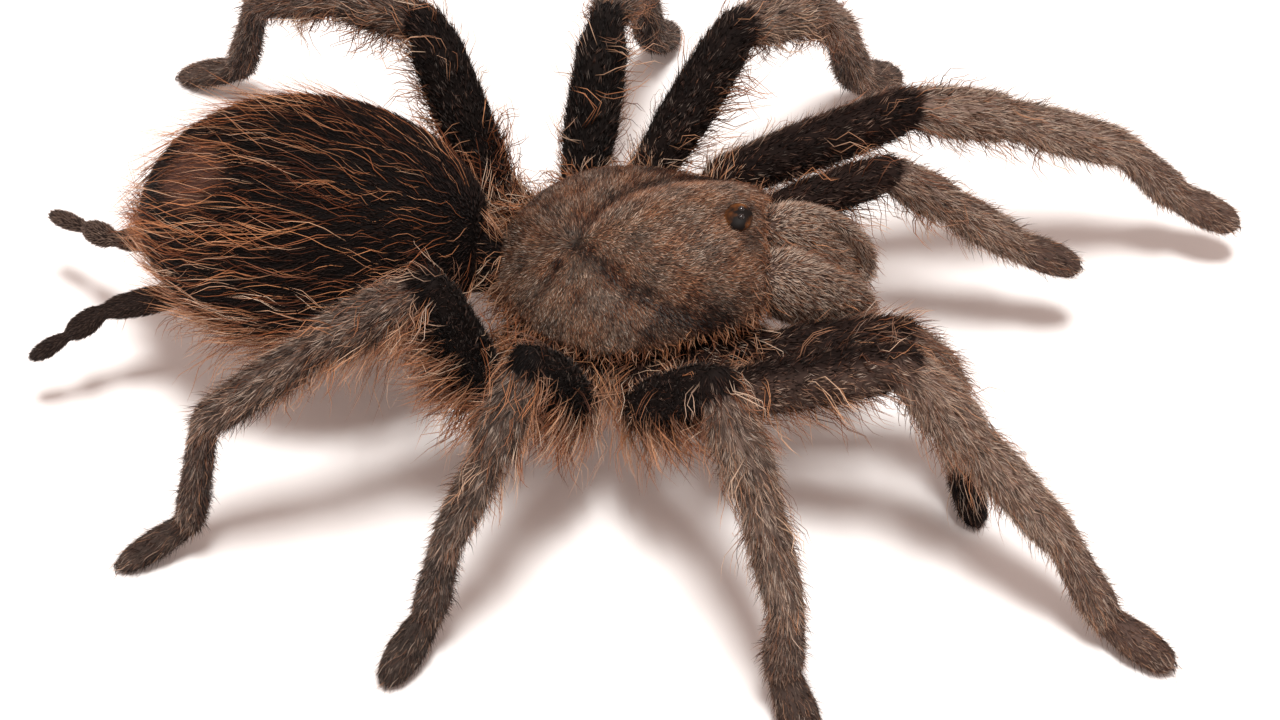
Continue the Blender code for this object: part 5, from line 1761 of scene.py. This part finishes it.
    def grow_finger_hair(self, material: bpy.types.Material) -> None:
        """Grow the spinnerets' short hair, paler on the left one as in the photo."""
        rng = np.random.default_rng(self.finger_seed)
        coat = Coat("spinneret_hair", rng)
        roots = self.surface.plant(self.finger_density * is_part(self.reading, Part.SPINNERET), rng)
        there = self.anatomy.read(roots.spots)
        left = roots.spots[:, 1] > 1.0
        tone = spread_about(rng, 0.30 + 0.26 * left, 0.09, len(roots), LEAST_TONE)
        place = np.stack([there.along / 12.0 * 0.45 + 0.5 * left, (there.angle + 180) / 360], 1)
        coat.grow(roots, there.lie, self.finger_hair, tone, np.full(len(roots), 0.12), place)
        coat.finish(material, "leg_coat")


def seen_from_above(local: np.ndarray) -> np.ndarray:
    """Places on a 16 mm square over the front body, 0 to 1 both ways."""
    return local[:, :2] / 16 + 0.5


class ChestCoat:
    """Velvet and drooping rusty hair under the front body, between the hips."""

    seed = 31
    velvet = Strand((0.8, 1.2), 0.09, (18, 36), stray=18, flat=0.5)
    droop = Strand((2.2, 3.6), 0.06, (35, 65), fall=20, sag=0.8, wave=30, stray=26, rings=5, bundle=3,
                   apart=0.25)

    def build(self, anatomy: Anatomy, surface: Surface, material: bpy.types.Material) -> bpy.types.Object:
        """Grow both kinds of hair on the breast."""
        rng = np.random.default_rng(self.seed)
        here = anatomy.read(surface.centres)
        below = PROSOMA.local(surface.centres)[:, 2] < -0.9
        seen = is_part(here, Part.CHEST, Part.WAIST) * below
        coat = Coat("breast_coat", rng)
        for strand, density, tone, warm in ((self.velvet, 34.0, 0.12, 0.3), (self.droop, 0.8, 0.6, 0.85)):
            roots = surface.plant(density * seen, rng)
            there = anatomy.read(roots.spots)
            tones = spread_about(rng, tone, 0.08, len(roots), LEAST_TONE)
            warms = spread_about(rng, warm, 0.1, len(roots))
            coat.grow(roots, there.lie, strand, tones, warms, seen_from_above(PROSOMA.local(roots.spots)))
        return coat.finish(material, "underside_coat")


class ShieldCoat:
    """Short silk on the carapace, with a rusty fringe round its margin."""

    silk_seed, fringe_seed = 41, 42
    silk_density = 150.0
    fringe_density = 20.0
    tuft_density = 22.0
    silk = Strand((0.30, 0.50), 0.054, (14, 34), stray=16, flat=0.5)
    fringe = Strand((0.7, 1.4), 0.045, (10, 45), fall=16, sag=0.15, wave=22, stray=26, rings=3)
    tufts = Strand((1.8, 3.4), 0.06, (10, 55), fall=22, sag=0.4, wave=30, stray=34, rings=3)

    def __init__(self, shield: Shield, surface: Surface) -> None:
        """Keep what the silk grows on."""
        self.shield = shield
        self.surface = surface

    def lie(self, local: np.ndarray) -> np.ndarray:
        """From the pit outwards, and forward and inward on the head."""
        x, y = local[:, 0] - self.shield.pit[0], local[:, 1]
        outward = unit(np.stack([x, y * 1.3, np.zeros(len(x))], 1))
        on_head = ramp_between(0.5, 3.0, local[:, 0]) * (1 - ramp_between(2.5, 4.5, np.abs(y)))
        forward = np.stack([np.full(len(x), 0.85), -0.12 * y, np.zeros(len(x))], 1)
        return unit(outward * (1 - on_head)[:, None] + forward * on_head[:, None])

    def build(self, mound: EyeMound, material: bpy.types.Material) -> None:
        """Grow the silk and the fringe."""
        local = PROSOMA.local(self.surface.centres)
        self.grow_silk(material, local, mound)
        self.grow_fringe(material, local)

    def grow_silk(self, material: bpy.types.Material, local: np.ndarray, mound: EyeMound) -> None:
        """Grow silk over the top, but not on the eye mound."""
        rng = np.random.default_rng(self.silk_seed)
        top = PROSOMA.turned((0.0, 0.0, 1.0))
        upper = (self.surface.outward @ top > 0.02) * (local[:, 2] > -0.4)
        off_eyes = ramp_between(0.72, 0.84, np.hypot((local[:, 0] - mound.x) / mound.radii[0],
                                                   local[:, 1] / mound.radii[1]))
        coat = Coat("shield_silk", rng)
        roots = self.surface.plant(self.silk_density * upper * off_eyes, rng)
        there = PROSOMA.local(roots.spots)
        x, y = there[:, 0], there[:, 1]
        # The silk takes the shield's tone, with its painted highlight on the head's top and its painted
        # shade in the hollows and grooves.
        tone = self.shield.tone_at(x, y) + rng.normal(0, 0.19, len(roots))
        ochre = 0.20 * np.sin(1.3 * x - 0.9 * y) * np.sin(1.7 * y + 0.5 * x)
        warm = spread_about(rng, 0.34 + ochre, 0.18, len(roots))
        coat.grow(roots, PROSOMA.turned(self.lie(there)), self.silk, np.clip(tone, LEAST_TONE, 1.0), warm,
                  seen_from_above(there))
        coat.finish(material, "shield")

    def grow_fringe(self, material: bpy.types.Material, local: np.ndarray) -> None:
        """Grow the fringe round the margin, and tufts at the rear."""
        rng = np.random.default_rng(self.fringe_seed)
        coat = Coat("shield_fringe", rng)
        rim = ramp_between(0.90, 0.98, np.abs(local[:, 1]) / self.shield.half_at(local[:, 0]))
        ends = ramp_between(6.9, 7.5, np.abs(local[:, 0]))
        rear = ramp_between(-5.0, -7.0, local[:, 0])
        for strand, density in ((self.fringe, self.fringe_density * np.maximum(rim, ends)),
                                (self.tufts, self.tuft_density * rear * (rim + ends))):
            roots = self.surface.plant(density * (local[:, 2] > -0.45), rng)
            there = PROSOMA.local(roots.spots)
            outward = unit(np.stack([there[:, 0] * 0.8, there[:, 1], np.zeros(len(there))], 1))
            normals = PROSOMA.turned(unit(outward + (0.0, 0.0, 0.6)))
            tone = rng.uniform(0.42, 0.88, len(roots))
            warm = spread_about(rng, 0.6, 0.2, len(roots))
            coat.grow(Roots(roots.spots, normals), PROSOMA.turned(outward), strand, tone, warm,
                      seen_from_above(there))
        coat.finish(material, "shield")


class JawCoat:
    """Velvet stubble on a jaw base, longer and golden at its front and lower edges."""

    seeds = {"left": 51, "right": 52}
    stubble_density = 95.0
    golden_density = 3.4
    stubble = Strand((0.4, 0.65), 0.058, (20, 44), stray=16, flat=0.5)
    golden = Strand((0.9, 1.7), 0.046, (24, 52), fall=18, wave=16, stray=18, rings=3)

    def build(self, jaw: Chelicera, surface: Surface, material: bpy.types.Material) -> bpy.types.Object:
        """Grow both kinds of hair on one jaw base."""
        rng = np.random.default_rng(self.seeds[jaw.name])
        local = PROSOMA.local(surface.centres)
        seen = local[:, 0] > 7.6
        low = ramp_between(-1.5, -5.5, local[:, 2])
        front = ramp_between(11.5, 13.5, local[:, 0])
        slit = ramp_between(0.9, 0.2, np.abs(local[:, 1])) * ramp_between(-4.0, -2.5, local[:, 2])
        coat = Coat(f"{jaw.name}_jaw_coat", rng)
        edges = 0.3 + front + 0.6 * low + 3.0 * slit
        for strand, density in ((self.stubble, self.stubble_density * seen),
                                (self.golden, self.golden_density * seen * edges)):
            roots = surface.plant(density, rng)
            there = PROSOMA.local(roots.spots)
            share = np.clip((there[:, 0] - 7.95) / 5.5, 0.0, 1.0)
            drop = 0.15 + 1.1 * share ** 1.5
            way = np.stack([np.ones(len(there)), np.zeros(len(there)), -drop], 1)
            if strand is self.stubble:
                # Darker at the jaw's base: painted shade where it meets the shield's front edge.
                tone = spread_about(rng, 0.84 - 0.25 * np.exp(-share / 0.06), 0.26, len(roots), LEAST_TONE)
                warm = spread_about(rng, 0.26, 0.18, len(roots))
            else:
                tone = rng.uniform(0.40, 0.80, len(roots))
                warm = spread_about(rng, 0.62, 0.15, len(roots))
            turn = np.degrees(np.arctan2(there[:, 2] + 2.5, there[:, 1] - jaw.sign * 1.8))
            place = np.stack([share, (turn + 180) / 360], 1)
            coat.grow(roots, PROSOMA.turned(unit(way)), strand, tone, warm, place)
        return coat.finish(material, "velvet")


class Studio:
    """A white card floor, a broad soft light overhead, and the camera where the photographer stood."""

    azimuth = 1.5
    elevation = 56.0
    distance = 200.0
    lens = 92.25
    sensor = 36.0
    clip_range = (0.01, 10.0)
    target = np.array((1.665, -2.445, 6.244)) + STANCE_SHIFT
    floor_size = 3.0
    box_place = (0.018, -0.066, 0.60)
    box_aim = (0.0, 0.0, 0.01)
    box_size = 0.11
    box_power = 4.2
    box_colour = (1.0, 0.985, 0.97)
    room_colour = (1.0, 0.78, 0.71, 1.0)
    room_strength = 0.66

    def build(self) -> None:
        """Set up floor, lights and camera."""
        self.floor()
        self.lights()
        self.camera()

    def floor(self) -> None:
        """Lay the card."""
        shape = bmesh.new()
        bmesh.ops.create_grid(shape, x_segments=2, y_segments=2, size=self.floor_size / 2)
        mesh = bpy.data.meshes.new("floor")
        shape.to_mesh(mesh)
        shape.free()
        mesh.materials.append(FloorFinish().material())
        card = link_object("floor", mesh)

    def lights(self) -> None:
        """Hang the soft box and fill the room with soft white light."""
        world = bpy.data.worlds.new("soft_room")
        bpy.context.scene.world = world
        world.use_nodes = True
        background = world.node_tree.nodes["Background"]
        set_inputs(world.node_tree, background, {"Color": self.room_colour, "Strength": self.room_strength})
        lamp = bpy.data.lights.new("soft_box", "AREA")
        lamp.shape = "SQUARE"
        lamp.size = self.box_size
        lamp.energy = self.box_power
        lamp.color = self.box_colour
        holder = link_object("soft_box", lamp)
        holder.location = self.box_place
        aim = Vector(self.box_aim) - Vector(self.box_place)
        holder.rotation_euler = aim.to_track_quat("-Z", "Y").to_euler()

    def camera(self) -> None:
        """Place the camera at the photo's angle."""
        a, e = math.radians(self.azimuth), math.radians(self.elevation)
        back = np.array((math.sin(a) * math.cos(e), -math.cos(a) * math.cos(e), math.sin(e)))
        data = bpy.data.cameras.new("photo_view")
        data.lens = self.lens
        data.sensor_width = self.sensor
        data.clip_start, data.clip_end = self.clip_range
        camera = link_object("photo_view", data)
        camera.location = Vector((self.target + back * self.distance) * MM)
        camera.rotation_euler = Vector(-back).to_track_quat("-Z", "Y").to_euler()
        bpy.context.scene.camera = camera
        bpy.context.scene.view_settings.view_transform = "Standard"


def main() -> None:
    """Build every piece in order."""
    logging.basicConfig(level=logging.INFO, format="%(name)s %(message)s", stream=sys.stdout)
    anatomy = Anatomy()
    markings = Markings(anatomy)
    skin = Surface(Skin(anatomy, markings).build())
    shield = Shield()
    plate = Surface(shield.build())
    mound = EyeMound()
    mound.build(shield)
    hair = HairFinish("hair").material()
    for sign in (1.0, -1.0):
        jaw = Chelicera(sign)
        base = jaw.build()
        jaw.build_fang()
        JawCoat().build(jaw, Surface(base), hair)
    Claws().build(anatomy)
    coats = LimbCoats(anatomy, markings, skin)
    for k, limb in enumerate(anatomy.limbs):
        coats.build(limb, coats.first_seed + k, hair)
    HindCoat(anatomy, markings, skin).build(hair)
    ChestCoat().build(anatomy, skin, hair)
    ShieldCoat(shield, plate).build(mound, hair)
    Studio().build()


if __name__ == "__main__":
    main()
